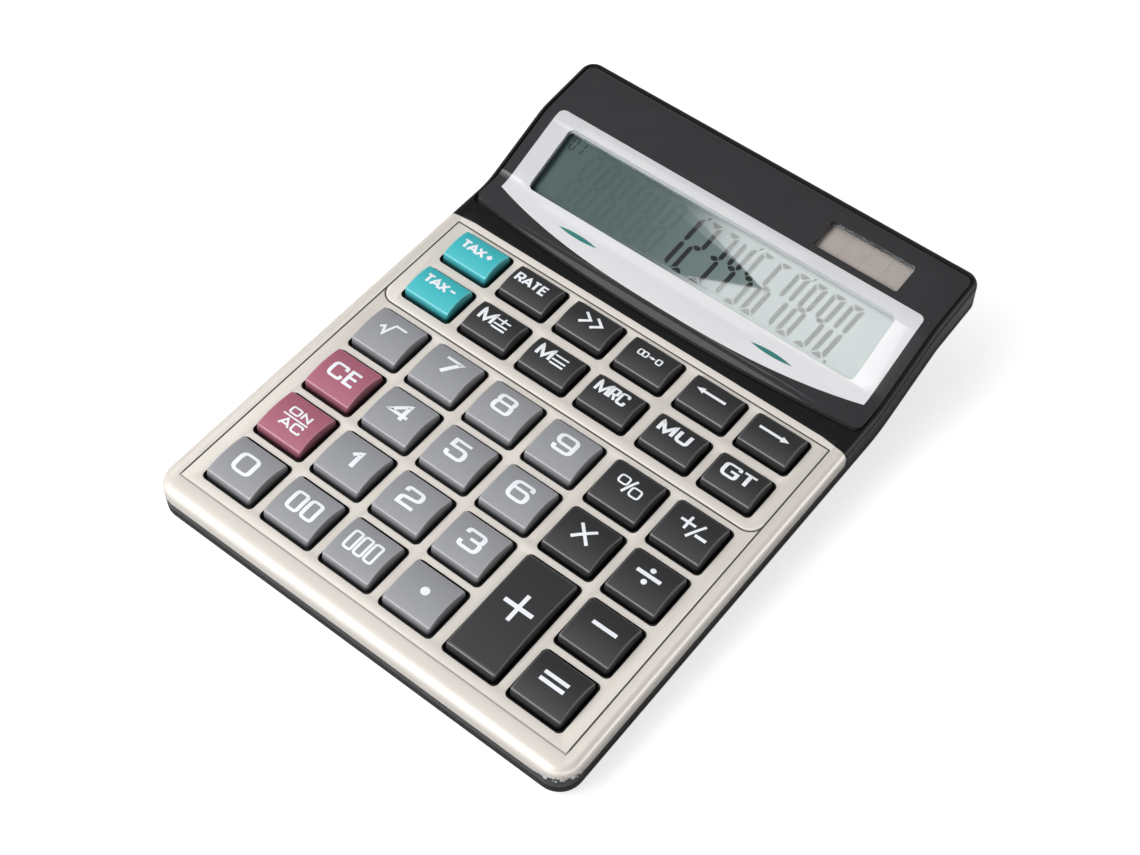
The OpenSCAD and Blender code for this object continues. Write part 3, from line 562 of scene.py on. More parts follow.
@dataclass(frozen=True)
class Metal:
    """Plated or oxidised metal with fine turning marks."""
    name: str
    colour: Colour
    rough: float = 0.3

    def build(self) -> bpy.types.Material:
        """Make the material."""
        r = Recipe(self.name)
        marks = r.noise(0.5, 3.0, (6, 1, 1))
        stain = r.noise(3.0, 3.0, seed=2.0)
        colour = r.shade(self.colour, 0.85 + marks * 0.2 + stain * 0.1)
        return r.coat(Base_Color=colour, Metallic=1.0, Roughness=self.rough + stain * 0.15,
                      Normal=r.bump(marks, 0.01))


@dataclass(frozen=True)
class Ink:
    """Printed ink: flat and slightly uneven."""
    name: str
    colour: Colour
    rough: float = 0.45

    def build(self) -> bpy.types.Material:
        """Make the material."""
        r = Recipe(self.name)
        mottle = r.noise(0.6, 3.0)
        rub = r.noise(5.0, 3.0, seed=3.0)
        colour = r.shade(self.colour, 0.95 + mottle * 0.06 + rub * 0.04)
        return r.coat(Base_Color=colour, Roughness=self.rough + mottle * 0.1,
                      Normal=r.bump(mottle, 0.006))


@dataclass(frozen=True)
class LensPrint:
    """The lens's print seen through its clear gloss: charcoal, silver surround with painted light, two leaf
    marks.
    """
    charcoal: Colour = paint(58, 58, 60)
    silver: Colour = paint(206, 206, 208)
    leaf: Colour = paint(60, 128, 122)
    frame: tuple[float, float, float, float] = (69.2, 130.0, 181.8, 2.2)
    bow_v: float = 142.0
    bow_half: float = 68.0
    bow_rise: float = 8.0
    leaf_x: float = 37.0
    leaf_v: float = 148.9
    leaf_half: float = 7.6
    leaf_width: float = 0.85

    def build(self) -> bpy.types.Material:
        """Make the material."""
        r = Recipe("lens_print")
        x, v, _ = r.place()
        inside = self._surround(x, v)
        silver = 1 - inside.ramp(-0.07, 0.07)
        leaf = self._leaves(x, v)
        flakes = r.noise(0.12, 1.0, seed=3.0)
        brush = r.noise(20.0, 2.0, seed=6.0)
        # Painted light: the silver is made lighter towards the front and towards the right.
        painted_light = (1 - v.ramp(145.0, 162.0)) * 0.2 + x.ramp(10.0, 70.0) * 0.14
        sheen = r.shade(self.silver, 0.94 + flakes * 0.06 + brush * 0.05 + painted_light)
        print_colour = r.mix(leaf, sheen, self.leaf)
        dark = r.shade(self.charcoal, 0.9 + r.noise(9.0, 3.0, seed=2.0) * 0.2)
        dust = r.specks(7.0, 0.02, seed=11.0) * 0.35
        colour = r.mix(dust, r.mix(silver, dark, print_colour), paint(190, 190, 190))
        haze = r.noise(30.0, 4.0, seed=12.0)
        return r.coat(Base_Color=colour, Roughness=0.03 + haze * 0.04 + dust * 0.4, IOR=1.49,
                      Coat_Weight=0.3, Coat_Roughness=0.02, Normal=r.bump(haze, 0.02, 0.4))

    def _surround(self, x: Value, v: Value) -> Value:
        """Distance to the silver surround with its bowed front edge, below zero inside."""
        bow = self.bow_v + (abs(x) / self.bow_half) ** 2.6 * self.bow_rise
        return box_edge(x, v, *self.frame).most((bow - v) * 0.93)

    def _leaves(self, x: Value, v: Value) -> Value:
        """One inside the two pointed leaf marks under the display."""
        across = abs(abs(x) - self.leaf_x) / self.leaf_half
        width = (1 - across ** 2).most(0.0) * self.leaf_width
        middle = self.leaf_v - across * 0.05
        return 1 - (abs(v - middle) - width).ramp(-0.05, 0.05)


@dataclass(frozen=True)
class ClearPane:
    """Clear acrylic: see-through with a gloss that grows at a glance."""
    name: str = "clear_pane"
    tint: Colour = (0.93, 0.95, 0.95)

    def build(self) -> bpy.types.Material:
        """Make the material."""
        r = Recipe(self.name)
        smear = r.noise(22.0, 4.0, seed=2.0)
        clear = r.node("ShaderNodeBsdfTransparent", {}, {"Color": self.tint})
        gloss = r.surface(Base_Color=(0.92, 0.92, 0.92), Metallic=1.0, Roughness=0.004 + smear * 0.01)
        glance = Value(r, r.node("ShaderNodeLayerWeight", {}, {"Blend": 0.5}).outputs["Facing"])
        share = ((glance ** 5) * 0.94 + 0.052) * (1.0 + smear * 0.1)
        return r.finish(r.node("ShaderNodeMixShader", {}, {0: share, 1: clear, 2: gloss}))


@dataclass(frozen=True)
class Ghost:
    """Segments that are off: a faint shade on the display."""

    def build(self) -> bpy.types.Material:
        """Make the material."""
        r = Recipe("ghost_segments")
        mottle = r.noise(2.0, 2.0)
        clear = r.node("ShaderNodeBsdfTransparent")
        shade = r.surface(Base_Color=r.shade(paint(58, 84, 92), 0.9 + mottle * 0.2), Roughness=0.3)
        return r.finish(r.node("ShaderNodeMixShader", {}, {0: 0.06 + mottle * 0.1, 1: clear, 2: shade}))


@dataclass(frozen=True)
class DisplayFace:
    """Grey-green liquid crystal face with a faint reflector grain and a painted reflection that lightens it
    towards the right.
    """
    dark: Colour = paint(84, 104, 103)
    # The light tone is a painted reflection.
    light: Colour = paint(148, 160, 157)

    def build(self) -> bpy.types.Material:
        """Make the material."""
        r = Recipe("display_face")
        x = r.place()[0]
        grain = r.noise(0.2, 2.0)
        cloud = r.noise(30.0, 2.0, seed=3.0)
        # Painted reflection: the colour runs from the dark tone on the left to the light tone on the right,
        # with a cloudy border.
        side = (x + cloud * 16).ramp(-34.0, 60.0)
        colour = r.shade(r.mix(side, self.dark, self.light), 0.98 + grain * 0.04)
        return r.coat(Base_Color=colour, Roughness=0.34 + grain * 0.06, Coat_Weight=0.5, Coat_Roughness=0.0)


@dataclass(frozen=True)
class SolarFace:
    """Thin-film solar cell: brown glass with a cloudy sheen."""
    film: Colour = paint(222, 205, 197)

    def build(self) -> bpy.types.Material:
        """Make the material."""
        r = Recipe("solar_face")
        cloud = r.noise(6.0, 3.0)
        bands = r.noise(1.2, 2.0, (1, 14, 1), seed=4.0)
        colour = r.shade(self.film, 0.8 + cloud * 0.25 + bands * 0.12)
        return r.coat(Base_Color=colour, Roughness=0.1 + cloud * 0.06, Coat_Weight=0.5,
                      Normal=r.bump(bands, 0.004))


@dataclass(frozen=True)
class Board:
    """Circuit board: green mask over copper tracks."""

    def build(self) -> bpy.types.Material:
        """Make the material."""
        r = Recipe("board_mask")
        x, v, _ = r.place()
        weave = ((x * 3.1).wave() * (v * 3.1).wave()) * 0.5 + 0.5
        lanes = ((x + (v * 0.05).wave() * 4) / 2.4).part().ramp(0.3, 0.36)
        tracks = lanes * r.noise(20.0, 1.0).ramp(0.5, 0.54)
        colour = r.mix(tracks, r.shade(paint(24, 92, 50), 0.9 + weave * 0.15), paint(46, 124, 66))
        return r.coat(Base_Color=colour, Roughness=0.28 + weave * 0.05, Coat_Weight=0.3,
                      Normal=r.bump(tracks + weave * 0.2, 0.03))


@dataclass(frozen=True)
class BatterySleeve:
    """Printed battery sleeve: dark body, copper band at one end, bare metal nub."""
    dark: Colour = paint(40, 40, 44)
    copper: Colour = paint(186, 120, 62)
    nub: Colour = paint(200, 200, 202)
    band_x: float = 10.5
    nub_x: float = 24.6

    def build(self) -> bpy.types.Material:
        """Make the material."""
        r = Recipe("battery_sleeve")
        x = r.axes()[0] * 1000
        band = (x + self.band_x).ramp(-0.1, 0.1)
        bare = (x - self.nub_x).ramp(-0.1, 0.1)
        scuff = r.noise(2.0, 4.0)
        dark, copper = (r.shade(shade, 0.9 + scuff * 0.2) for shade in (self.dark, self.copper))
        colour = r.mix(bare, r.mix(band, dark, copper), self.nub)
        return r.coat(Base_Color=colour, Metallic=0.7, Roughness=0.3 + scuff * 0.15,
                      Normal=r.bump(scuff, 0.02))


class KeyColour(Enum):
    """Plastic of a key cap."""
    GREY = ("key_grey", paint(145, 146, 150))
    BLACK = ("key_black", paint(49, 49, 50))
    TEAL = ("key_teal", paint(62, 180, 187))
    MAROON = ("key_maroon", paint(164, 95, 115))


@dataclass(frozen=True)
class KeyPlastic:
    """Satin key plastic with a fine spark-eroded grain, smoother along the top edge, with painted shade
    down the sides and a painted highlight along the top edge.
    """
    colour: KeyColour

    def build(self) -> bpy.types.Material:
        """Make the material."""
        name, colour = self.colour.value
        r = Recipe(name)
        grain = r.noise(0.22, 3.0)
        cloud = r.noise(7.0, 3.0, seed=3.0)
        # Painted shade: the sides darken towards the plate, by the height share that the cap's mesh
        # carries.
        lift = r.attribute("lift").ramp(-0.15, 1.0)
        # Painted highlight: the top edge is lightened and mixed toward pale grey together with the dust
        # specks; it is also smoother and coated there.
        rim = r.attribute("rim")
        dust = r.specks(5.5, 0.022, seed=5.0) * 0.3
        tone = 0.95 + grain * 0.05 + cloud * 0.05
        plain = r.shade(colour, tone * (0.1 + lift * 0.9) + rim * 0.22)
        dust_and_painted_highlight = r.mix(dust.most(rim * 0.12), plain, paint(205, 205, 206))
        rough = 0.46 + grain * 0.06 + cloud * 0.04 - rim * 0.2
        return r.coat(Base_Color=dust_and_painted_highlight, Roughness=rough, Normal=r.bump(grain, 0.008),
                      Specular_IOR_Level=0.35, Coat_Weight=rim * 0.9, Coat_Roughness=0.1)


# ---- mesh helpers ---------------------------------------------------------

MERGE_DISTANCE = 2e-6
FLAT_ANGLE = radians(0.4)


def mesh_object(name: str, vertices: Sequence[Any], faces: Sequence[Sequence[int]],
                materials: Sequence[bpy.types.Material], slots: Optional[Sequence[int]] = None,
                smooth: float = 30.0) -> bpy.types.Object:
    """Make a mesh object in metres.

    Args:
        name: The object's name.
        vertices: Points in metres.
        faces: Corners of each face.
        materials: The mesh's materials.
        slots: Material number of each face.
        smooth: Angle in degrees over which an edge is sharp.

    Returns:
        The object, in the scene.
    """
    mesh = bpy.data.meshes.new(name)
    mesh.from_pydata([tuple(p) for p in vertices], [], [tuple(f) for f in faces])
    for material in materials:
        mesh.materials.append(material)
    if slots is not None:
        mesh.polygons.foreach_set("material_index", list(slots))
    mesh.validate()
    shade_smooth(mesh, smooth)
    made = bpy.data.objects.new(name, mesh)
    bpy.context.scene.collection.objects.link(made)
    return made


def shade_smooth(mesh: bpy.types.Mesh, angle: float) -> None:
    """Shade a mesh smooth, with edges over an angle in degrees sharp."""
    mesh.polygons.foreach_set("use_smooth", [True] * len(mesh.polygons))
    mesh.set_sharp_from_angle(angle=radians(angle))
    mesh.update()


def node_copy(node: str, name: str) -> bpy.types.Object:
    """A copy of a CAD node's mesh with its loose triangles joined and its flat faces merged.

    Args:
        node: The CAD node.
        name: Name of the copy.

    Returns:
        The copy, in the scene.
    """
    mesh = frame["nodes"][node].data.copy()
    mesh.name = name
    work = bmesh.new()
    work.from_mesh(mesh)
    bmesh.ops.remove_doubles(work, verts=work.verts, dist=MERGE_DISTANCE)
    bmesh.ops.dissolve_limit(work, angle_limit=FLAT_ANGLE, verts=work.verts, edges=work.edges,
                             delimit={"NORMAL"})
    work.to_mesh(mesh)
    work.free()
    mesh.materials.clear()
    made = bpy.data.objects.new(name, mesh)
    bpy.context.scene.collection.objects.link(made)
    return made


def settle(made: bpy.types.Object) -> bpy.types.Object:
    """Apply an object's modifiers to its mesh."""
    graph = bpy.context.evaluated_depsgraph_get()
    mesh = bpy.data.meshes.new_from_object(made.evaluated_get(graph), depsgraph=graph)
    made.modifiers.clear()
    made.data = mesh
    return made


def soften(made: bpy.types.Object, width: float, steps: int = 2, angle: float = 32.0) -> bpy.types.Object:
    """Round an object's sharp edges.

    Args:
        made: The object.
        width: Width of the rounding in millimetres.
        steps: Faces across it.
        angle: Angle in degrees from which an edge is rounded.

    Returns:
        The same object.
    """
    bevel = made.modifiers.new("soft_edges", "BEVEL")
    bevel.width = width * MM
    bevel.segments = steps
    bevel.limit_method = "ANGLE"
    bevel.angle_limit = radians(angle)
    bevel.use_clamp_overlap = True
    bevel.harden_normals = False
    bevel.miter_outer = "MITER_ARC"
    settle(made)
    shade_smooth(made.data, 35.0)
    return made


def dress_node(node: str, material: bpy.types.Material) -> None:
    """Give a CAD node a material in all its slots."""
    mesh = frame["nodes"][node].data
    mesh.materials.clear()
    mesh.materials.append(material)


class Rows:
    """Copies of a small mesh in rows and columns, made by one Geometry Nodes tree."""
    NAME = "rows_of_copies"
    INPUTS = (("Geometry", "NodeSocketGeometry"), ("Columns", "NodeSocketInt"),
              ("Column Step", "NodeSocketVector"), ("Rows", "NodeSocketInt"),
              ("Row Step", "NodeSocketVector"), ("Finish", "NodeSocketMaterial"))

    @classmethod
    def _tree(cls) -> bpy.types.NodeTree:
        """The tree, made at its first use."""
        if cls.NAME in bpy.data.node_groups:
            return bpy.data.node_groups[cls.NAME]
        tree = bpy.data.node_groups.new(cls.NAME, "GeometryNodeTree")
        for name, kind in cls.INPUTS:
            tree.interface.new_socket(name, in_out="INPUT", socket_type=kind)
        tree.interface.new_socket("Geometry", in_out="OUTPUT", socket_type="NodeSocketGeometry")
        given, out = tree.nodes.new("NodeGroupInput"), tree.nodes.new("NodeGroupOutput")

        def add(kind: str, **links: bpy.types.NodeSocket) -> bpy.types.NodeSocket:
            """Add a node with linked inputs and return its first output."""
            made = tree.nodes.new(kind)
            for name, source in links.items():
                tree.links.new(source, made.inputs[name.replace("_", " ")])
            return made.outputs[0]

        source = given.outputs
        line = add("GeometryNodeMeshLine", Count=source["Columns"], Offset=source["Column Step"])
        lines = add("GeometryNodeMeshLine", Count=source["Rows"], Offset=source["Row Step"])
        grid = add("GeometryNodeRealizeInstances",
                   Geometry=add("GeometryNodeInstanceOnPoints", Points=lines, Instance=line))
        copies = add("GeometryNodeInstanceOnPoints", Points=grid, Instance=source["Geometry"])
        real = add("GeometryNodeRealizeInstances", Geometry=copies)
        painted = add("GeometryNodeSetMaterial", Geometry=real, Material=source["Finish"])
        tree.links.new(painted, out.inputs[0])
        return tree

    @classmethod
    def repeat(cls, made: bpy.types.Object, finish: bpy.types.Material, columns: int, column_step: Point3,
               rows: int = 1, row_step: Point3 = (0, 0, 0)) -> bpy.types.Object:
        """Copy an object's mesh in a grid.

        Args:
            made: The object.
            finish: Material of the copies.
            columns: Number across.
            column_step: From one to the next, in the case's millimetres.
            rows: Number of such rows.
            row_step: From one row to the next, in the case's millimetres.

        Returns:
            The same object with all copies in its mesh.
        """
        turn = CASE.matrix().to_3x3()
        given = {"Columns": columns, "Column Step": tuple(turn @ Vector(column_step)), "Rows": rows,
                 "Row Step": tuple(turn @ Vector(row_step)), "Finish": finish}
        tree = cls._tree()
        maker = made.modifiers.new(cls.NAME, "NODES")
        maker.node_group = tree
        for item in tree.interface.items_tree:
            if item.in_out == "INPUT" and item.name in given:
                maker[item.identifier] = given[item.name]
        return settle(made)


# ---- outlines of the legends ----------------------------------------------


CORNER_STEPS = 6


def rounded(points: Sequence[Point], radii: Union[float, Sequence[float]],
            closed: bool = False) -> list[Point]:
    """A line through points with rounded corners.

    Args:
        points: Corners of the line.
        radii: One radius, or one for each point.
        closed: Whether the line returns to its start.

    Returns:
        The points of the rounded line.
    """
    count = len(points)
    if isinstance(radii, (int, float)):
        radii = [float(radii)] * count
    line: list[Point] = []
    for i, (here, radius) in enumerate(zip(points, radii)):
        if radius <= 0 or (not closed and i in (0, count - 1)):
            line.append(here)
            continue
        before, after = points[i - 1], points[(i + 1) % count]
        a = Vector((before[0] - here[0], before[1] - here[1]))
        b = Vector((after[0] - here[0], after[1] - here[1]))
        reach = min(radius, a.length * 0.499, b.length * 0.499)
        a, b = a.normalized() * reach, b.normalized() * reach
        for k in range(CORNER_STEPS + 1):
            t = k / CORNER_STEPS
            from_a, from_b = (1 - t) ** 2, t ** 2
            line.append((here[0] + a.x * from_a + b.x * from_b, here[1] + a.y * from_a + b.y * from_b))
    return line


@dataclass
class Print:
    """Flat printed strokes on a key, drawn with an oval nib and laid on the key's crown."""
    quads: list[tuple[int, list[Point]]] = field(default_factory=list)
    level: int = 0
    bold: float = 1.07

    def stroke(self, line: Sequence[Point], wide: float, tall: float, closed: bool = False,
               step: float = 0.7) -> None:
        """Add a line.

        Args:
            line: Points of its middle, in millimetres from the key's centre.
            wide: Thickness of upright parts.
            tall: Thickness of level parts.
            closed: Whether it returns to its start.
            step: Longest piece of it.
        """
        self.level += 1
        wide, tall = wide * self.bold, tall * self.bold
        points = list(line)
        if closed:
            points = points + [points[0]]
        fine = [points[0]]
        for a, b in zip(points, points[1:]):
            gap = hypot(b[0] - a[0], b[1] - a[1])
            if gap < TINY:
                continue
            parts = max(1, round(gap / step + 0.4))
            fine += [(a[0] + (b[0] - a[0]) * k / parts, a[1] + (b[1] - a[1]) * k / parts)
                     for k in range(1, parts + 1)]
        sides = []
        last = len(fine) - 1
        for i, p in enumerate(fine):
            before = fine[i - 1] if i > 0 else (fine[last - 1] if closed else None)
            after = fine[i + 1] if i < last else (fine[1] if closed else None)
            into = Vector((p[0] - before[0], p[1] - before[1])).normalized() if before else None
            out = Vector((after[0] - p[0], after[1] - p[1])).normalized() if after else None
            into, out = into or out, out or into
            mean = (into + out)
            mean = mean.normalized() if mean.length > TINY else out
            square = Vector((-mean.y, mean.x))
            bend = max(0.5, mean.dot(out))
            sides.append(((p[0] + square.x * wide / 2 / bend, p[1] + square.y * tall / 2 / bend),
                          (p[0] - square.x * wide / 2 / bend, p[1] - square.y * tall / 2 / bend)))
        for (a, b), (c, d) in zip(sides, sides[1:]):
            self.quads.append((self.level, [a, b, d, c]))

    def strips(self, y0: float, y1: float, span: Callable[[float], Point], count: int = 12) -> None:
        """Fill a shape with level strips.

        Args:
            y0: Lowest place.
            y1: Highest place.
            span: Left and right end at a height.
            count: Number of strips.
        """
        self.level += 1
        rows = [y0 + (y1 - y0) * k / count for k in range(count + 1)]
        for low, high in zip(rows, rows[1:]):
            (a, b), (c, d) = span(low), span(high)
            self.quads.append((self.level, [(a, low), (b, low), (d, high), (c, high)]))

    def dot(self, x: float, y: float, radius: float) -> None:
        """Add a round spot."""
        def span(level: float) -> Point:
            """Ends of the spot at a height."""
            half = sqrt(max(0.0, radius ** 2 - (level - y) ** 2))
            return x - half, x + half
        self.strips(y - radius, y + radius, span, 16)


@dataclass(frozen=True)
class Path:
    """A line of a letter in a box of width and height 1, with radii as shares of the box's smaller side."""
    points: tuple[Point, ...]
    radii: Union[float, tuple[float, ...]] = 0.0
    closed: bool = False


R = 0.3
SQUARED_RING = (Path(((0, 0), (1, 0), (1, 1), (0, 1)), R, True),)
LETTERS: dict[str, tuple[Path, ...]] = {
    "0": SQUARED_RING,
    "1": (Path(((0, 0.66), (1, 1.0), (1, 0))),),
    "2": (Path(((0, 0.72), (0, 1), (1, 1), (1, 0.5), (0, 0.4), (0, 0), (1, 0)),
               (0, R, R, 0.22, 0.22, 0, 0)),),
    "3": (Path(((0, 0.74), (0, 1), (0.97, 1), (0.97, 0.53), (0.35, 0.53)), (0, R, R, 0.2, 0)),
          Path(((0.35, 0.53), (1, 0.53), (1, 0), (0, 0), (0, 0.27)), (0, 0.2, R, R, 0))),
    "4": (Path(((0.78, 0), (0.78, 1), (0, 0.27), (1.08, 0.27))),),
    "5": (Path(((0.97, 1), (0, 1), (0, 0.6), (1, 0.6), (1, 0), (0, 0), (0, 0.25)), (0, 0, 0, R, R, R, 0)),),
    "6": (Path(((0.97, 0.76), (0.97, 1), (0, 1), (0, 0), (1, 0), (1, 0.58), (0, 0.58)),
               (0, R, R, R, R, R, 0)),),
    "7": (Path(((0, 1), (1.0, 1), (0.3, 0))),),
    "8": (Path(((0.03, 0.54), (0.97, 0.54), (0.97, 1), (0.03, 1)), 0.22, True),
          Path(((0, 0), (1, 0), (1, 0.54), (0, 0.54)), 0.22, True)),
    "9": (Path(((0.03, 0.24), (0.03, 0), (1, 0), (1, 1), (0, 1), (0, 0.42), (1, 0.42)),
               (0, R, R, R, R, R, 0)),),
    "A": (Path(((0, 0), (0.5, 1), (1, 0))), Path(((0.2, 0.3), (0.8, 0.3)))),
    "C": (Path(((1, 0.72), (1, 1), (0, 1), (0, 0), (1, 0), (1, 0.28)), (0, R, R, R, R, 0)),),
    "E": (Path(((1, 1), (0, 1), (0, 0), (1, 0))), Path(((0, 0.52), (0.92, 0.52)))),
    "G": (Path(((1, 0.74), (1, 1), (0, 1), (0, 0), (1, 0), (1, 0.46), (0.5, 0.46)),
               (0, R, R, R, R, 0, 0)),),
    "M": (Path(((0, 0), (0, 1), (0.5, 0.06), (1, 1), (1, 0))),),
    "N": (Path(((0, 0), (0, 1), (1, 0), (1, 1))),),
    "O": SQUARED_RING,
    "R": (Path(((0, 0), (0, 1), (1, 1), (1, 0.44), (0, 0.44)), (0, 0, R, R, 0)),
          Path(((0.55, 0.44), (1, 0)))),
    "T": (Path(((0, 1), (1, 1))), Path(((0.5, 1), (0.5, 0)))),
    "U": (Path(((0, 1), (0, 0), (1, 0), (1, 1)), (0, R, R, 0)),),
    "X": (Path(((0, 0), (1, 1))), Path(((0, 1), (1, 0)))),
    "+": (Path(((0, 0.5), (1, 0.5))), Path(((0.5, 0), (0.5, 1)))),
    "-": (Path(((0, 0.5), (1, 0.5))),),
}


@dataclass(frozen=True)
class Stroke:
    """A line drawn with a nib, in millimetres from the key's centre. A nib without a height is round."""
    points: tuple[Point, ...]
    wide: float
    tall: float = 0.0
    corner: float = 0.0
    closed: bool = False

    def draw(self, out: Print) -> None:
        """Draw it."""
        line = rounded(self.points, self.corner, self.closed)
        out.stroke(line, self.wide, self.tall or self.wide, self.closed)


@dataclass(frozen=True)
class Dot:
    """A round spot, in millimetres from the key's centre."""
    x: float
    y: float
    radius: float

    def draw(self, out: Print) -> None:
        """Draw it."""
        out.dot(self.x, self.y, self.radius)


@dataclass(frozen=True)
class Arrow:
    """A level arrow at height y from tail to tip, with its shaft's thickness and its head's width."""
    tail: float
    tip: float
    y: float
    shaft: float
    head: float
    head_length: float = 1.15

    def draw(self, out: Print) -> None:
        """Draw it."""
        way = 1 if self.tip > self.tail else -1
        neck = self.tip - way * self.head * self.head_length
        out.stroke([(self.tail, self.y), (neck, self.y)], self.shaft, self.shaft)

        def span(level: float) -> Point:
            """Ends of the head at a height."""
            reach = neck + (self.tip - neck) * (1 - abs(level - self.y) / (self.head / 2))
            return min(neck, reach), max(neck, reach)
        out.strips(self.y - self.head / 2, self.y + self.head / 2, span, 8)


def level_bar(x0: float, x1: float, height: float, wide: float) -> Stroke:
    """A level bar."""
    return Stroke(((x0, height), (x1, height)), wide)


def percent_ring(x0: float, y0: float, x1: float, y1: float) -> Stroke:
    """A squared ring of the percent sign."""
    return Stroke(((x0, y0), (x1, y0), (x1, y1), (x0, y1)), 0.62, 0.55, 1.0, True)


@dataclass(frozen=True)
class Legend:
    """What is printed on a key: letters with their boxes in millimetres from its centre, then marks."""
    signs: tuple[tuple[str, float, float, float, float], ...] = ()
    pen: tuple[float, float] = (1.35, 0.9)
    marks: tuple[Union[Stroke, Dot, Arrow], ...] = ()

    def draw(self) -> Print:
        """Draw all its signs."""
        out = Print()
        wide, tall = self.pen
        for sign, x0, y0, x1, y1 in self.signs:
            w, h = x1 - x0 - wide, y1 - y0 - tall
            size = min(w, h)
            for path in LETTERS[sign]:
                placed = [(x0 + wide / 2 + px * w, y0 + tall / 2 + py * h) for px, py in path.points]
                shares = path.radii
                radii = shares * size if isinstance(shares, float) else [share * size for share in shares]
                out.stroke(rounded(placed, radii, path.closed), wide, tall, path.closed)
        for mark in self.marks:
            mark.draw(out)
        return out


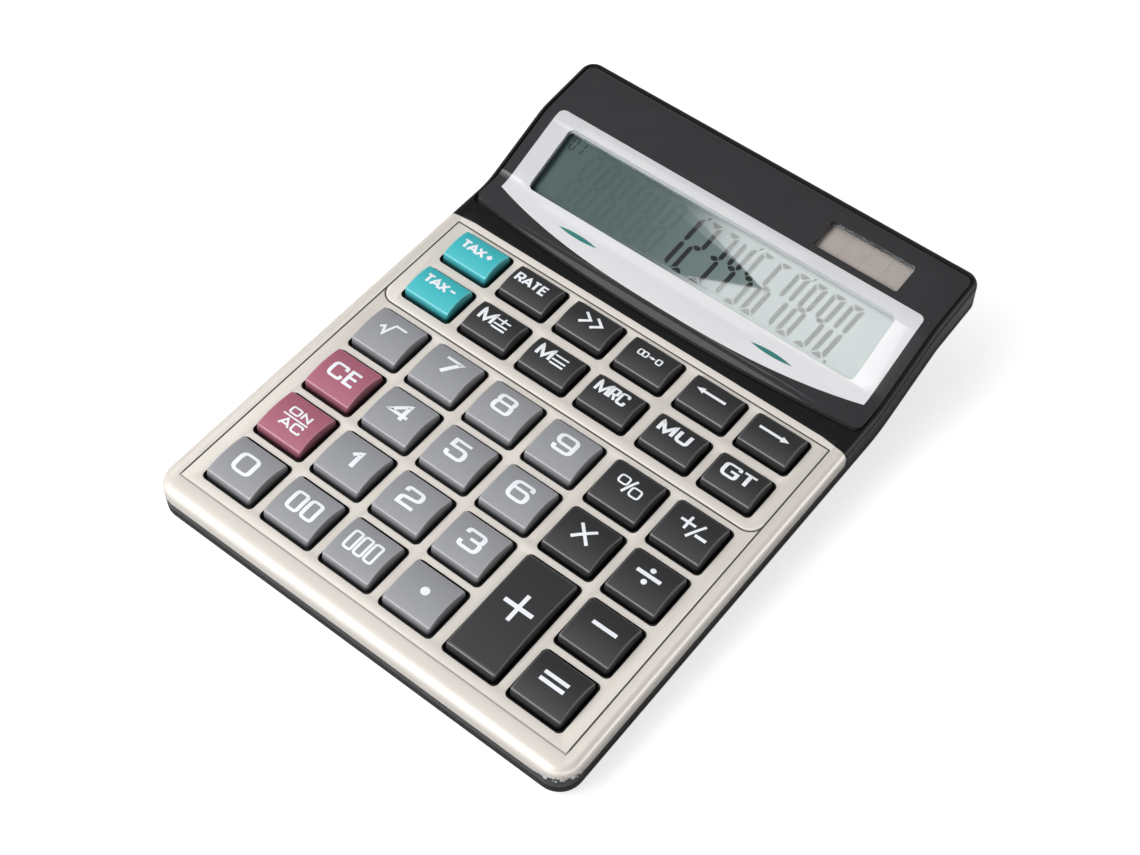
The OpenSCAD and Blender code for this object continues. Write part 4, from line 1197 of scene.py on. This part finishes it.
LEGENDS: dict[str, Legend] = {
    "key_0": Legend((("0", -3.75, -3.35, 3.45, 3.65),), (1.35, 0.9)),
    "key_00": Legend((("0", -4.85, -3.35, 0.0, 3.65), ("0", 0.6, -3.35, 5.45, 3.65)), (1.15, 0.85)),
    "key_000": Legend((("0", -5.55, -3.1, -2.1, 3.9), ("0", -1.8, -3.1, 1.65, 3.9),
                       ("0", 1.95, -3.1, 5.4, 3.9)), (0.8, 0.72)),
    "key_1": Legend((("1", -1.65, -2.9, 1.85, 3.65),), (1.35, 0.95)),
    "key_2": Legend((("2", -3.75, -3.1, 3.15, 3.65),), (1.35, 0.95)),
    "key_3": Legend((("3", -3.55, -3.2, 3.7, 3.7),), (1.35, 0.95)),
    "key_4": Legend((("4", -4.1, -2.45, 3.2, 4.3),), (1.35, 0.95)),
    "key_5": Legend((("5", -3.95, -2.75, 2.95, 4.1),), (1.35, 0.95)),
    "key_6": Legend((("6", -3.55, -2.75, 3.7, 4.2),), (1.35, 0.95)),
    "key_7": Legend((("7", -3.5, -1.8, 3.35, 4.7),), (1.45, 0.9)),
    "key_8": Legend((("8", -4.05, -2.3, 2.95, 4.45),), (1.35, 0.9)),
    "key_9": Legend((("9", -3.6, -2.3, 3.65, 4.5),), (1.35, 0.95)),
    "key_clear_entry": Legend((("C", -5.1, -2.45, 0.35, 3.3), ("E", 1.1, -2.45, 5.5, 3.3)), (1.15, 0.85)),
    "key_on_clear": Legend((("O", -3.7, 0.75, 0.25, 3.65), ("N", 0.75, 0.75, 4.15, 3.65),
                            ("A", -3.85, -4.0, 0.4, -0.8), ("C", 0.7, -4.0, 4.5, -0.8)),
                           (0.68, 0.55), (level_bar(-4.45, 4.75, -0.1, 0.5),)),
    "key_root": Legend(marks=(
        Stroke(((-3.95, 0.25), (-2.75, 1.35), (-1.65, -1.45), (0.05, 3.35), (4.05, 3.35)), 0.75),)),
    "key_percent": Legend(marks=(
        percent_ring(-3.9, 0.55, -0.75, 3.45), percent_ring(1.3, -1.55, 4.6, 1.55),
        Stroke(((-0.85, -1.8), (1.35, 3.9)), 0.8))),
    "key_sign": Legend(marks=(
        level_bar(-4.35, 0.75, 1.75, 0.85), Stroke(((-1.8, -0.75), (-1.8, 4.2)), 0.85),
        Stroke(((0.0, -2.5), (3.2, 3.6)), 0.8), level_bar(2.1, 5.9, -0.7, 0.95))),
    "key_times": Legend(marks=(
        Stroke(((-2.75, -1.85), (2.75, 3.75)), 0.95), Stroke(((-2.75, 3.75), (2.75, -1.85)), 0.95))),
    "key_divide": Legend(marks=(
        level_bar(-4.05, 4.05, 1.25, 1.2), Dot(0.0, 3.4, 0.9), Dot(0.0, -1.1, 0.9))),
    "key_minus": Legend(marks=(level_bar(-3.4, 4.75, 1.05, 1.2),)),
    "key_plus": Legend(marks=(level_bar(-4.3, 5.5, 1.85, 1.3), Stroke(((0.6, -3.05), (0.6, 6.7)), 1.2))),
    "key_equals": Legend(marks=(level_bar(-4.05, 4.05, 1.75, 1.15), level_bar(-4.05, 4.05, -0.6, 1.15))),
    "key_point": Legend(marks=(Dot(0.35, 0.35, 1.4),)),
    "key_tax_plus": Legend((("T", -6.3, -1.1, -3.0, 2.6), ("A", -3.6, -1.1, 0.2, 2.6),
                            ("X", -0.3, -1.1, 3.0, 2.6), ("+", 3.3, -0.6, 6.0, 2.1)), (0.85, 0.75)),
    "key_tax_minus": Legend((("T", -6.3, -0.8, -3.0, 3.0), ("A", -3.6, -0.8, 0.2, 3.0),
                             ("X", -0.3, -0.8, 3.0, 3.0), ("-", 3.3, 0.1, 6.0, 2.6)), (0.85, 0.75)),
    "key_rate": Legend((("R", -6.8, -1.1, -3.9, 2.8), ("A", -4.0, -1.1, -0.4, 2.8),
                        ("T", -0.7, -1.1, 2.2, 2.8), ("E", 2.4, -1.1, 5.1, 2.8)), (0.85, 0.7)),
    "key_replay": Legend(marks=tuple(
        Stroke(((x, 3.2), (x + 3.0, 0.9), (x, -1.4)), 0.85) for x in (-3.2, 1.0))),
    "key_correct": Legend((("0", -4.4, -0.2, -2.4, 2.2), ("0", -2.7, -0.2, -0.7, 2.2),
                           ("0", 2.2, -0.2, 4.3, 2.2)), (0.5, 0.42), (Arrow(-0.35, 2.0, 1.0, 0.5, 1.2),)),
    "key_check_back": Legend(marks=(Arrow(4.7, -5.6, 0.9, 0.9, 2.3),)),
    "key_check_next": Legend(marks=(Arrow(-5.3, 5.1, 0.9, 0.9, 2.3),)),
    "key_memory_add": Legend((("M", -6.1, -1.5, -0.7, 3.8),), (1.0, 0.8),
                             (*(level_bar(-0.35, 4.55, y, 0.62) for y in (2.25, 0.2, -1.2)),
                              Stroke(((2.05, 0.75), (2.05, 3.55)), 0.62))),
    "key_memory_subtract": Legend((("M", -6.1, -1.3, -0.7, 3.9),), (1.0, 0.8),
                                  tuple(level_bar(-0.35, 4.55, y, 0.62) for y in (2.4, 0.5, -0.95))),
    "key_memory_recall": Legend((("M", -6.4, -0.9, -1.7, 4.2), ("R", -1.6, -0.9, 1.3, 4.2),
                                 ("C", 1.5, -0.9, 4.7, 4.2)), (0.9, 0.75)),
    "key_mark_up": Legend((("M", -6.3, -0.9, -0.6, 3.9), ("U", 0.1, -0.9, 4.8, 3.9)), (1.15, 0.9)),
    "key_grand_total": Legend((("G", -5.4, -1.7, 0.3, 3.4), ("T", 0.4, -1.7, 5.7, 3.4)), (1.15, 0.8)),
}


# ---- keypad ---------------------------------------------------------------


@dataclass
class KeyCap:
    """One key cap: straight skirt, leaning sides, crowned top with soft edges, and its legend."""
    node: str
    column: int
    row: int
    rows: int
    key_gap: float = 0.3
    low: float = -3.3
    edge_h: float = 2.2
    crown_h: float = 3.55
    side_draft: float = 0.75
    end_draft: float = 1.1
    tuck: float = 0.4
    soft: float = 0.3
    corner: float = 1.4
    top_corner: float = 0.5
    crown_corner: float = 0.45
    print_over: float = 0.024
    print_step: float = 0.003
    ring: int = 6

    SKIRT = (-0.3, 0.0)
    SIDE_SHARES = (0.2, 0.4, 0.6, 0.8, 0.97)
    EDGE_STEPS = 5
    CROWN_SHARES = (0.96, 0.75, 0.5, 0.25, 0.03)

    def __post_init__(self) -> None:
        """Work out the cap's sizes."""
        one = PLATE.opening_l if self.row < PLATE.lower_rows else PLATE.small_l
        self.length = one + (self.rows - 1) * PLATE.pitch_low
        self.x = PLATE.columns[self.column]
        self.v = PLATE.rows[self.row] + self.length / 2
        self.half_w = PLATE.opening_w / 2 - self.key_gap
        self.half_l = self.length / 2 - self.key_gap
        sag = self.crown_h - self.edge_h
        chord = self.half_l - self.end_draft
        self.crown_r = (chord ** 2 + sag ** 2) / (2 * sag)

    def colour(self) -> KeyColour:
        """Plastic of this key by its place."""
        if self.column == 0 and self.row > 3:
            return KeyColour.TEAL
        if self.column == 0 and self.row in (1, 2):
            return KeyColour.MAROON
        return KeyColour.GREY if self.column < 4 and self.row < 4 else KeyColour.BLACK

    def crown(self, y: float) -> float:
        """Height of the crown at y along the key."""
        return self.crown_h - self.crown_r + sqrt(max(0.0, self.crown_r ** 2 - y * y))

    def rim(self, y: float) -> float:
        """Height of the top's edge at y along the key."""
        return self.crown(min(abs(y), self.half_l - self.end_draft))

    def side(self, height: float) -> float:
        """Inset of the long sides at a height."""
        share = (self.side_draft - self.tuck) / self.edge_h
        return self.tuck + share * max(height, 0.0)

    def _loop(self, inset: float, inset_y: float, corner: float, height: Callable[[float], float],
              shrink: float = 1.0) -> list[Vector]:
        """A rounded rectangle of points whose sides lean in with their height.

        Args:
            inset: Distance to the leaning side.
            inset_y: Distance to the end of the key's opening side.
            corner: Corner radius.
            height: Height for a place along the key.
            shrink: Scale about the middle, for rings on the top.

        Returns:
            The points, counter-clockwise, always the same number.
        """
        half_x, half_y = self.half_w - inset, self.half_l - inset_y - inset
        points: list[Point] = []
        along = 10 if self.rows == 1 else 20
        corners = ((1, 1), (-1, 1), (-1, -1), (1, -1))
        for i, (sx, sy) in enumerate(corners):
            cx, cy = sx * (half_x - corner), sy * (half_y - corner)
            for k in range(self.ring + 1):
                a = (i + k / self.ring) * pi / 2
                points.append((cx + corner * cos(a), cy + corner * sin(a)))
            nx, ny = corners[(i + 1) % 4]
            ex, ey = nx * (half_x - corner), ny * (half_y - corner)
            end = (ex + corner * cos((i + 1) * pi / 2), ey + corner * sin((i + 1) * pi / 2))
            start = points[-1]
            for k in range(1, along):
                t = k / along
                points.append((start[0] + (end[0] - start[0]) * t, start[1] + (end[1] - start[1]) * t))
        loop = []
        for px, py in points:
            lean = self.rim(py) if shrink < 1.0 else height(py)
            narrow = 1 - self.side(lean) / self.half_w
            loop.append(Vector((px * narrow * shrink, py * shrink, height(py * shrink))))
        return loop

    def build(self, plastic: bpy.types.Material, ink: bpy.types.Material) -> bpy.types.Object:
        """Make the cap and its legend.

        Args:
            plastic: The cap's finish.
            ink: The legend's finish.

        Returns:
            The cap, riding on its own body.
        """
        soft = self.soft
        loops = [self._loop(0.0, self.tuck, self.corner, lambda y, z=z: z) for z in (self.low, *self.SKIRT)]
        marks = [(0.0, 0.0)] * len(loops)
        for share in self.SIDE_SHARES:
            loops.append(self._loop(0.0, self.tuck + (self.end_draft - self.tuck) * share,
                                    self.corner - (self.corner - self.top_corner) * share,
                                    lambda y, t=share: (self.rim(y) - soft) * t))
            marks.append((share * 0.9, 0.0))
        for k in range(self.EDGE_STEPS + 1):
            a = k / self.EDGE_STEPS * pi / 2 * 0.94
            loops.append(self._loop(soft * (1 - cos(a)), self.end_draft, self.top_corner,
                                    lambda y, up=soft * (sin(a) - 1): self.rim(y) + up))
            marks.append((1.0, 1.0 if 0 < k < self.EDGE_STEPS else 0.4))
        loops += [self._loop(soft, self.end_draft, self.crown_corner, self.crown, shrink)
                  for shrink in self.CROWN_SHARES]
        marks += [(1.0, 0.0)] * len(self.CROWN_SHARES)
        made = self._mesh(loops, plastic, ink)
        self._mark(made.data, len(loops[0]), marks)
        return made

    @staticmethod
    def _mark(mesh: bpy.types.Mesh, count: int, marks: list[tuple[float, float]]) -> None:
        """Write each ring's height share and edge share to the mesh, for the painted shade and the painted
        highlight of the cap's finish.

        Args:
            mesh: The cap's mesh.
            count: Points of a ring.
            marks: Height share, from 0 at the plate to 1 at the top, which sets the painted shade, and edge
                share, which sets the painted highlight, of each ring.
        """
        for i, name in enumerate(("lift", "rim")):
            values = [mark[i] for mark in marks for _ in range(count)]
            values += [1.0 - i] * (len(mesh.vertices) - len(values))
            mesh.attributes.new(name, "FLOAT", "POINT").data.foreach_set("value", values)

    def _mesh(self, loops: list[list[Vector]], plastic: bpy.types.Material,
              ink: bpy.types.Material) -> bpy.types.Object:
        """Join loops and legend to one piece and put it in its place.

        Args:
            loops: Rings of points from the skirt to the crown's middle.
            plastic: The cap's finish.
            ink: The legend's finish.

        Returns:
            The piece.
        """
        place = CASE.matrix() @ Matrix.Translation((self.x, self.v, 0))
        vertices = [place @ p for loop in loops for p in loop]
        count = len(loops[0])
        faces = []
        for i in range(len(loops) - 1):
            a, b = i * count, (i + 1) * count
            faces += [(a + k, a + (k + 1) % count, b + (k + 1) % count, b + k) for k in range(count)]
        faces.append(tuple((len(loops) - 1) * count + k for k in range(count)))
        faces.append(tuple(reversed(range(count))))
        slots = [0] * len(faces)
        for level, quad in LEGENDS[self.node].draw().quads:
            start = len(vertices)
            corners: list[Point] = []
            for px, py in quad:
                if not any(hypot(px - qx, py - qy) < TINY for qx, qy in corners):
                    corners.append((px, py))
            turn = sum(a[0] * b[1] - b[0] * a[1] for a, b in zip(corners, corners[1:] + corners[:1]))
            if turn < 0:
                corners.reverse()
            if len(corners) < 3:
                continue
            over = self.print_over + self.print_step * level
            vertices += [place @ Vector((px, py, self.crown(py) + over)) for px, py in corners]
            faces.append(tuple(range(start, start + len(corners))))
            slots.append(1)
        made = mesh_object(self.node + "_cap", vertices, faces, (plastic, ink), slots, 50.0)
        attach(made, self.node)
        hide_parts(self.node)
        self.colour().value[0]
        return made


@dataclass
class Keypad:
    """All key caps, with their names row by row from the front and a gap over the tall key."""
    names: tuple[tuple[str, ...], ...] = (
        ("0", "00", "000", "point", "plus", "equals"),
        ("on_clear", "1", "2", "3", "", "minus"),
        ("clear_entry", "4", "5", "6", "times", "divide"),
        ("root", "7", "8", "9", "percent", "sign"),
        ("tax_minus", "memory_add", "memory_subtract", "memory_recall", "mark_up", "grand_total"),
        ("tax_plus", "rate", "replay", "correct", "check_back", "check_next"))
    tall: str = "plus"

    def build(self) -> list[bpy.types.Object]:
        """Make every cap."""
        plastics = {colour: KeyPlastic(colour).build() for colour in KeyColour}
        ink = Ink("legend_ink", paint(233, 236, 241)).build()
        caps = [KeyCap("key_" + name, column, row, 2 if name == self.tall else 1)
                for row, names in enumerate(self.names) for column, name in enumerate(names) if name]
        return [cap.build(plastics[cap.colour()], ink) for cap in caps]


# ---- case -----------------------------------------------------------------


@dataclass
class CaseShells:
    """Upper and lower case, battery door and feet, with softened edges and their finishes."""
    edge: float = 0.16

    def build(self) -> list[bpy.types.Object]:
        """Make the four pieces."""
        lacquer = CaseLacquer().build()
        base = Moulding("base_plastic", paint(37, 37, 39), 0.45, 0.03, 0.5, 0.25).build()
        door = Moulding("door_plastic", paint(37, 37, 39), 0.45, 0.03, 0.5).build()
        rubber = Moulding("foot_rubber", paint(28, 28, 28), 0.75, 0.02, 0.4, 0.3).build()
        made = []
        for node, material, width, body in (("upper_case", lacquer, self.edge, "case"),
                                            ("lower_case", base, 0.2, "case"),
                                            ("battery_door", door, 0.2, "battery_door"),
                                            ("rubber_feet", rubber, 0.3, "case")):
            piece = node_copy(node, node + "_shell")
            soften(piece, width)
            piece.data.materials.clear()
            piece.data.materials.append(material)
            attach(piece, body)
            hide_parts(node)
            made.append(piece)
        return made


# ---- display --------------------------------------------------------------


@dataclass
class Display:
    """Lens with its print and clear windows, and the figures on the display glass."""
    window_half: float = 62.0
    window_low: float = 2.3
    window_high: float = 26.7
    solar: tuple[float, float, float, float] = (26.5, 6.0, 56.9, 17.4)
    glass_n: float = -4.12
    cell_n: float = -3.58
    first_joint: float = -9.0
    pitch: float = 6.58
    ghosts: int = 6
    counter_x: float = -58.55
    counter_pitch: float = 3.0
    point_spot: tuple[float, float, float] = (50.65, 6.85, 0.6)
    thousands_mark: tuple[Point, ...] = ((-4.25, 26.05), (-2.8, 27.75), (-4.15, 27.7))
    finger: tuple[float, float, float, float] = (26.8, 5.6, 26.98, 17.8)
    fingers: int = 5
    finger_pitch: float = 7.4
    corner_steps: int = 6
    cut_heights: Point = (-12.0, 40.0)

    def build(self) -> list[bpy.types.Object]:
        """Make the lens body, the panes and the figures."""
        body = node_copy("display_lens", "lens_body")
        soften(body, 0.22, 3)
        cut = self._cutter()
        panes = node_copy("display_lens", "lens_panes")
        self._boolean(panes, cut, "INTERSECT")
        self._boolean(body, cut, "DIFFERENCE")
        bpy.data.objects.remove(cut)
        for piece, material in ((body, LensPrint().build()), (panes, ClearPane().build())):
            piece.data.materials.clear()
            piece.data.materials.append(material)
            shade_smooth(piece.data, 30.0)
            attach(piece, "case")
        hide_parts("display_lens")
        return [body, panes, *self._figures()]

    def _cutter(self) -> bpy.types.Object:
        """Two upright prisms with round corners where the lens is clear."""
        vertices: list[Vector] = []
        faces: list[tuple[int, ...]] = []
        slope = [CASE.on_lens_slope(0, s, 0).y for s in (self.window_low, self.window_high)]
        deck = [CASE.on_deck(0, s, 0).y for s in self.solar[1::2]]
        boxes = ((-self.window_half, slope[0], self.window_half, slope[1], 2.0),
                 (self.solar[0], deck[0], self.solar[2], deck[1], 0.7))
        steps = self.corner_steps
        for x0, v0, x1, v1, radius in boxes:
            ring: list[Point] = []
            for i, (sx, sy) in enumerate(((x1, v1), (x0, v1), (x0, v0), (x1, v0))):
                cx = sx - radius if sx == x1 else sx + radius
                cy = sy - radius if sy == v1 else sy + radius
                turns = [(i + k / steps) * pi / 2 for k in range(steps + 1)]
                ring += [(cx + radius * cos(a), cy + radius * sin(a)) for a in turns]
            start, count = len(vertices), len(ring)
            top = start + count
            vertices += [CASE.world(px, pv, n) for n in self.cut_heights for px, pv in ring]
            faces += [(start + k, start + (k + 1) % count, top + (k + 1) % count, top + k)
                      for k in range(count)]
            faces += [tuple(top + k for k in range(count)),
                      tuple(start + k for k in reversed(range(count)))]
        return mesh_object("window_cutter", vertices, faces, ())

    @staticmethod
    def _boolean(made: bpy.types.Object, cutter: bpy.types.Object, operation: str) -> None:
        """Cut one mesh with another and keep the result."""
        cut = made.modifiers.new("windows", "BOOLEAN")
        cut.operation = operation
        cut.object = cutter
        cut.solver = "EXACT"
        settle(made)

    def _figures(self) -> list[bpy.types.Object]:
        """The number with its thousands marks, the small 01, and the rows of segments that are off."""
        figure = Segments()
        dark: list[list[Point]] = []
        for place, sign in enumerate("1234567890"):
            joint = self.first_joint + place * self.pitch
            dark += figure.digit(sign, joint)
            if place % 3 == 1:
                dark.append([(joint + px, py) for px, py in self.thousands_mark])
        spot_x, spot_y, spot_r = self.point_spot
        turns = [k * pi / 8 for k in range(16)]
        dark.append([(spot_x + spot_r * cos(a), spot_y + spot_r * sin(a)) for a in turns])
        small = Segments(wide=2.0, high=5.05, bar=0.5, gap=0.12, foot=23.6, lean=0.11)
        faint = [bar for place, sign in enumerate("01")
                 for bar in small.digit(sign, self.counter_x + place * self.counter_pitch)]
        ghosts = figure.digit("8", self.first_joint - self.ghosts * self.pitch)
        x0, y0, x1, y1 = self.finger
        finger: list[list[Point]] = [[(x0, y0), (x1, y0), (x1, y1), (x0, y1)]]
        layers = (("display_figures", dark, Ink("figure_ink", paint(5, 8, 9), 0.5).build()),
                  ("display_counter", faint, Ink("counter_ink", paint(30, 37, 38), 0.5).build()),
                  ("display_ghosts", ghosts, Ghost().build()),
                  ("cell_fingers", finger, Ink("finger_ink", paint(188, 173, 166), 0.3).build()))
        made = []
        for name, outlines, ink in layers:
            vertices: list[Vector] = []
            faces: list[tuple[int, ...]] = []
            seat = CASE.on_deck if name == "cell_fingers" else CASE.on_slope
            depth = self.cell_n if name == "cell_fingers" else self.glass_n
            for outline in outlines:
                start = len(vertices)
                vertices += [CASE.matrix() @ seat(px, py, depth) for px, py in outline]
                faces.append(tuple(range(start, start + len(outline))))
            made.append(mesh_object(name, vertices, faces, (ink,)))
        for piece, count, pitch in ((made[2], self.ghosts, self.pitch),
                                    (made[3], self.fingers, self.finger_pitch)):
            Rows.repeat(piece, piece.data.materials[0], count, (pitch, 0, 0))
        for piece in made:
            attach(piece, "case")
        return made


@dataclass(frozen=True)
class Segments:
    """Seven-segment figures: mitred bars round the outside and a six-sided one across the middle."""
    wide: float = 4.85
    high: float = 20.15
    bar: float = 1.6
    gap: float = 0.2
    foot: float = 6.95
    lean: float = 0.127

    LIT = {"0": "abcdef", "1": "bc", "2": "abged", "3": "abgcd", "4": "fgbc", "5": "afgcd",
           "6": "afgedc", "7": "fabc", "8": "abcdefg", "9": "abfgcd"}

    def digit(self, sign: str, joint: float) -> list[list[Point]]:
        """One figure.

        Args:
            sign: Which figure.
            joint: Middle of its right-hand bars at half height.

        Returns:
            Outlines of its bars, on the display glass.
        """
        w, h, t, g = self.wide, self.high, self.bar, self.gap
        m, half, cut = h / 2, t / 2, t * 0.3
        level = [(cut * 1.6 + g, h), (w - cut * 1.6 - g, h), (w - cut - g, h - cut * 0.5),
                 (w - t - g, h - t), (t + g, h - t), (cut + g, h - cut * 0.5)]
        upright = [(0, m + g + half), (half, m + g), (t, m + g + half), (t, h - t - g),
                   (cut * 0.5, h - cut - g), (0, h - cut * 1.6 - g)]
        middle = [(half + g, m), (t + g, m - half), (w - t - g, m - half), (w - half - g, m),
                  (w - t - g, m + half), (t + g, m + half)]
        shapes = {"a": level, "d": self._turned(level, 1, -1), "g": middle, "f": upright,
                  "b": self._turned(upright, -1, 1), "e": self._turned(upright, 1, -1),
                  "c": self._turned(upright, -1, -1)}
        start = joint - (w - half) - self.lean * m
        return [[(start + px + self.lean * py, self.foot + py) for px, py in shapes[name]]
                for name in self.LIT[sign]]

    def _turned(self, outline: list[Point], across: int, along: int) -> list[Point]:
        """An outline mirrored sideways, upside down or both."""
        turned = [(px if across > 0 else self.wide - px, py if along > 0 else self.high - py)
                  for px, py in outline]
        return turned if across == along else turned[::-1]


# ---- inside ---------------------------------------------------------------


@dataclass
class Inside:
    """Finishes of the parts inside the case and under it."""

    def build(self) -> None:
        """Dress the CAD nodes."""
        finishes: dict[str, Any] = {
            "lcd_glass": DisplayFace(), "solar_cell": SolarFace(), "main_board": Board(),
            "battery": BatterySleeve(),
            "lcd_tray": Moulding("tray_plastic", paint(214, 214, 210), 0.4),
            "lcd_ribbon": Moulding("ribbon_film", paint(188, 128, 56), 0.3, 0.004),
            "solar_leads": Moulding("red_wire", paint(176, 34, 30), 0.4, 0.01),
            "battery_leads": Moulding("black_wire", paint(30, 30, 32), 0.4, 0.01),
            "controller_chip": Moulding("potting_resin", paint(16, 16, 17), 0.15, 0.02, 1.5),
            "key_mat": Moulding("silicone", paint(52, 52, 54), 0.6, 0.01),
            "inner_screws": Metal("zinc_plate", paint(196, 196, 200)),
            "case_screws": Metal("black_oxide", paint(44, 44, 46), 0.4),
            "contact_spring": Metal("nickel_plate", paint(206, 204, 198), 0.25),
        }
        for node, finish in finishes.items():
            dress_node(node, finish.build())
        dress_node("contact_plate", frame["nodes"]["contact_spring"].data.materials[0])


# ---- studio ---------------------------------------------------------------


@dataclass
class Studio:
    """Floor, light, background and camera."""
    focal: float = 59.76
    eye: tuple[float, float, float] = (199.15, -167.12, 450.25)
    right: tuple[float, float, float] = (0.7860, 0.6180, 0.0161)
    ahead: tuple[float, float, float] = (-0.3484, 0.4644, -0.8142)
    over: Point = (-0.56, -0.15)
    over_size: Point = (0.69, 1.2)
    over_watts: float = 10.8
    over_height: float = 1.2
    notch: Point = (-0.357, -0.152)
    notch_front: float = 0.3
    notch_back: float = 0.365
    notch_soft: float = 0.0012
    foot_x: Point = (-0.12, -0.03)
    foot_y: Point = (0.06, 0.085)
    foot_dark: float = 0.94
    back_y: Point = (0.08, 0.2)
    back_dark: float = 0.7
    front_at: Point3 = (-0.45, -0.95, 1.0)
    front_size: Point = (1.0, 0.5)
    front_watts: float = 15.0
    right_at: Point3 = (1.2, 0.7, 0.5)
    right_size: Point = (1.1, 0.8)
    right_watts: float = 2.4
    fill: float = 0.29
    floor_half: float = 4.0

    SKY = ((0.0, 1.0), (0.3, 0.8), (0.5, 0.12), (0.8, 0.08), (0.9, 0.05))

    def camera(self) -> None:
        """Place the camera."""
        turn = Matrix.Rotation(CASE.tilt, 3, "X")
        ahead = (turn @ Vector(self.ahead)).normalized()
        right = turn @ Vector(self.right)
        right = (right - ahead * right.dot(ahead)).normalized()
        up = right.cross(ahead)
        lens = bpy.data.cameras.new("camera")
        lens.lens, lens.sensor_width, lens.clip_start = self.focal, 36.0, 0.01
        view = bpy.data.objects.new("camera", lens)
        bpy.context.scene.collection.objects.link(view)
        eye = CASE.world(*self.eye)
        view.matrix_world = Matrix((
            (right.x, up.x, -ahead.x, eye.x), (right.y, up.y, -ahead.y, eye.y),
            (right.z, up.z, -ahead.z, eye.z), (0, 0, 0, 1)))
        bpy.context.scene.camera = view

    def floor(self) -> None:
        """Lay the pale floor."""
        r = Recipe("floor_paper")
        grain = r.noise(3.0, 3.0)
        path = r.node("ShaderNodeLightPath")
        seen = Value(r, path.outputs["Is Camera Ray"])
        shader = r.surface(Base_Color=r.shade(paint(180, 180, 180), 0.98 + grain * 0.04), Roughness=0.9,
                           Specular_IOR_Level=0.1)
        glow = r.node("ShaderNodeEmission", {}, {"Color": (1.0, 1.0, 1.0), "Strength": seen * 0.72})
        material = r.finish(r.node("ShaderNodeAddShader", {}, {0: shader, 1: glow}))
        half = self.floor_half
        corners = [(x * half, y * half, 0) for x, y in ((-1, -1), (1, -1), (1, 1), (-1, 1))]
        made = mesh_object("floor", corners, [(0, 1, 2, 3)], (material,))

    def _lamp(self, name: str, size: Point, watts: float, at: Point3, aim: Point3) -> bpy.types.Light:
        """Hang a soft box.

        Args:
            name: Its name.
            size: Width and depth in metres.
            watts: Its power.
            at: Its place.
            aim: The point that it faces.

        Returns:
            The lamp.
        """
        lamp = bpy.data.lights.new(name, "AREA")
        lamp.shape, lamp.size, lamp.size_y, lamp.energy = "RECTANGLE", *size, watts
        hung = bpy.data.objects.new(name, lamp)
        hung.location = at
        way = Vector(aim) - Vector(at)
        if hypot(way.x, way.y) > TINY:
            hung.rotation_euler = way.to_track_quat("-Z", "Y").to_euler()
        bpy.context.scene.collection.objects.link(hung)
        return lamp

    def light(self) -> None:
        """Hang the soft boxes: overhead with a dark notch, in front, and a weak one behind on the right."""
        over_x, over_y = self.over
        top = self._lamp("soft_box", self.over_size, self.over_watts, (over_x, over_y, self.over_height),
                         (over_x, over_y, 0))
        r = Recipe("soft_box", top)
        x, y, _ = r.axes()
        x, y = x - (self.notch[0] - over_x), y - (self.notch[1] - over_y)
        wedge = (x * -self.notch_front - y).least(y - x * self.notch_back)
        wedge = wedge.ramp(-self.notch_soft, self.notch_soft)
        foot = (1 - x.ramp(*self.foot_x)) * (1 - abs(y).ramp(*self.foot_y))
        strength = (1 - wedge.most(foot * self.foot_dark)) * (1 - y.ramp(*self.back_y) * self.back_dark)
        r.finish(r.node("ShaderNodeEmission", {}, {"Strength": strength}))
        self._lamp("front_box", self.front_size, self.front_watts, self.front_at, (0, 0, 0))
        self._lamp("right_box", self.right_size, self.right_watts, self.right_at, (0, 0, 0))

    def world(self) -> None:
        """Set the fill light, what gloss mirrors, and the white that the camera sees."""
        world = bpy.data.worlds.new("studio")
        bpy.context.scene.world = world
        r = Recipe("studio", world)
        x, y, z = r.axes("Generated")
        stops = tuple((place, (grey,) * 3) for place, grey in self.SKY)
        band = r.node("ShaderNodeValToRGB", {"stops": stops}, {0: z})
        side = 0.35 + (-y).ramp(-0.1, 0.9) * 1.3 + x.ramp(0.2, 0.9) * 0.9
        path = r.node("ShaderNodeLightPath")
        glossy = r.node("ShaderNodeBackground", {}, {"Color": band, "Strength": side})
        plain = r.node("ShaderNodeBackground", {}, {"Color": (self.fill, self.fill, self.fill * 1.02)})
        white = r.node("ShaderNodeBackground", {}, {"Color": (1.0, 1.0, 1.0)})
        first = r.node("ShaderNodeMixShader", {}, {0: path.outputs["Is Glossy Ray"], 1: plain, 2: glossy})
        r.finish(r.node("ShaderNodeMixShader", {}, {0: path.outputs["Is Camera Ray"], 1: first, 2: white}))

    def build(self) -> None:
        """Set up the whole studio."""
        self.camera()
        self.floor()
        self.light()
        self.world()
        bpy.context.scene.view_settings.view_transform = "Standard"


def main() -> None:
    """Build the calculator's pieces in order."""
    logging.basicConfig(level=logging.INFO, format="%(message)s")
    for title, part in (("studio", Studio()), ("case shells", CaseShells()), ("keypad", Keypad()),
                        ("display", Display()), ("inside", Inside())):
        made = part.build()
        for piece in made or []:
            log.info("%s: %s, %d faces", title, piece.name, len(piece.data.polygons))
        log.info("%s done", title)


if __name__ == "__main__":
    main()
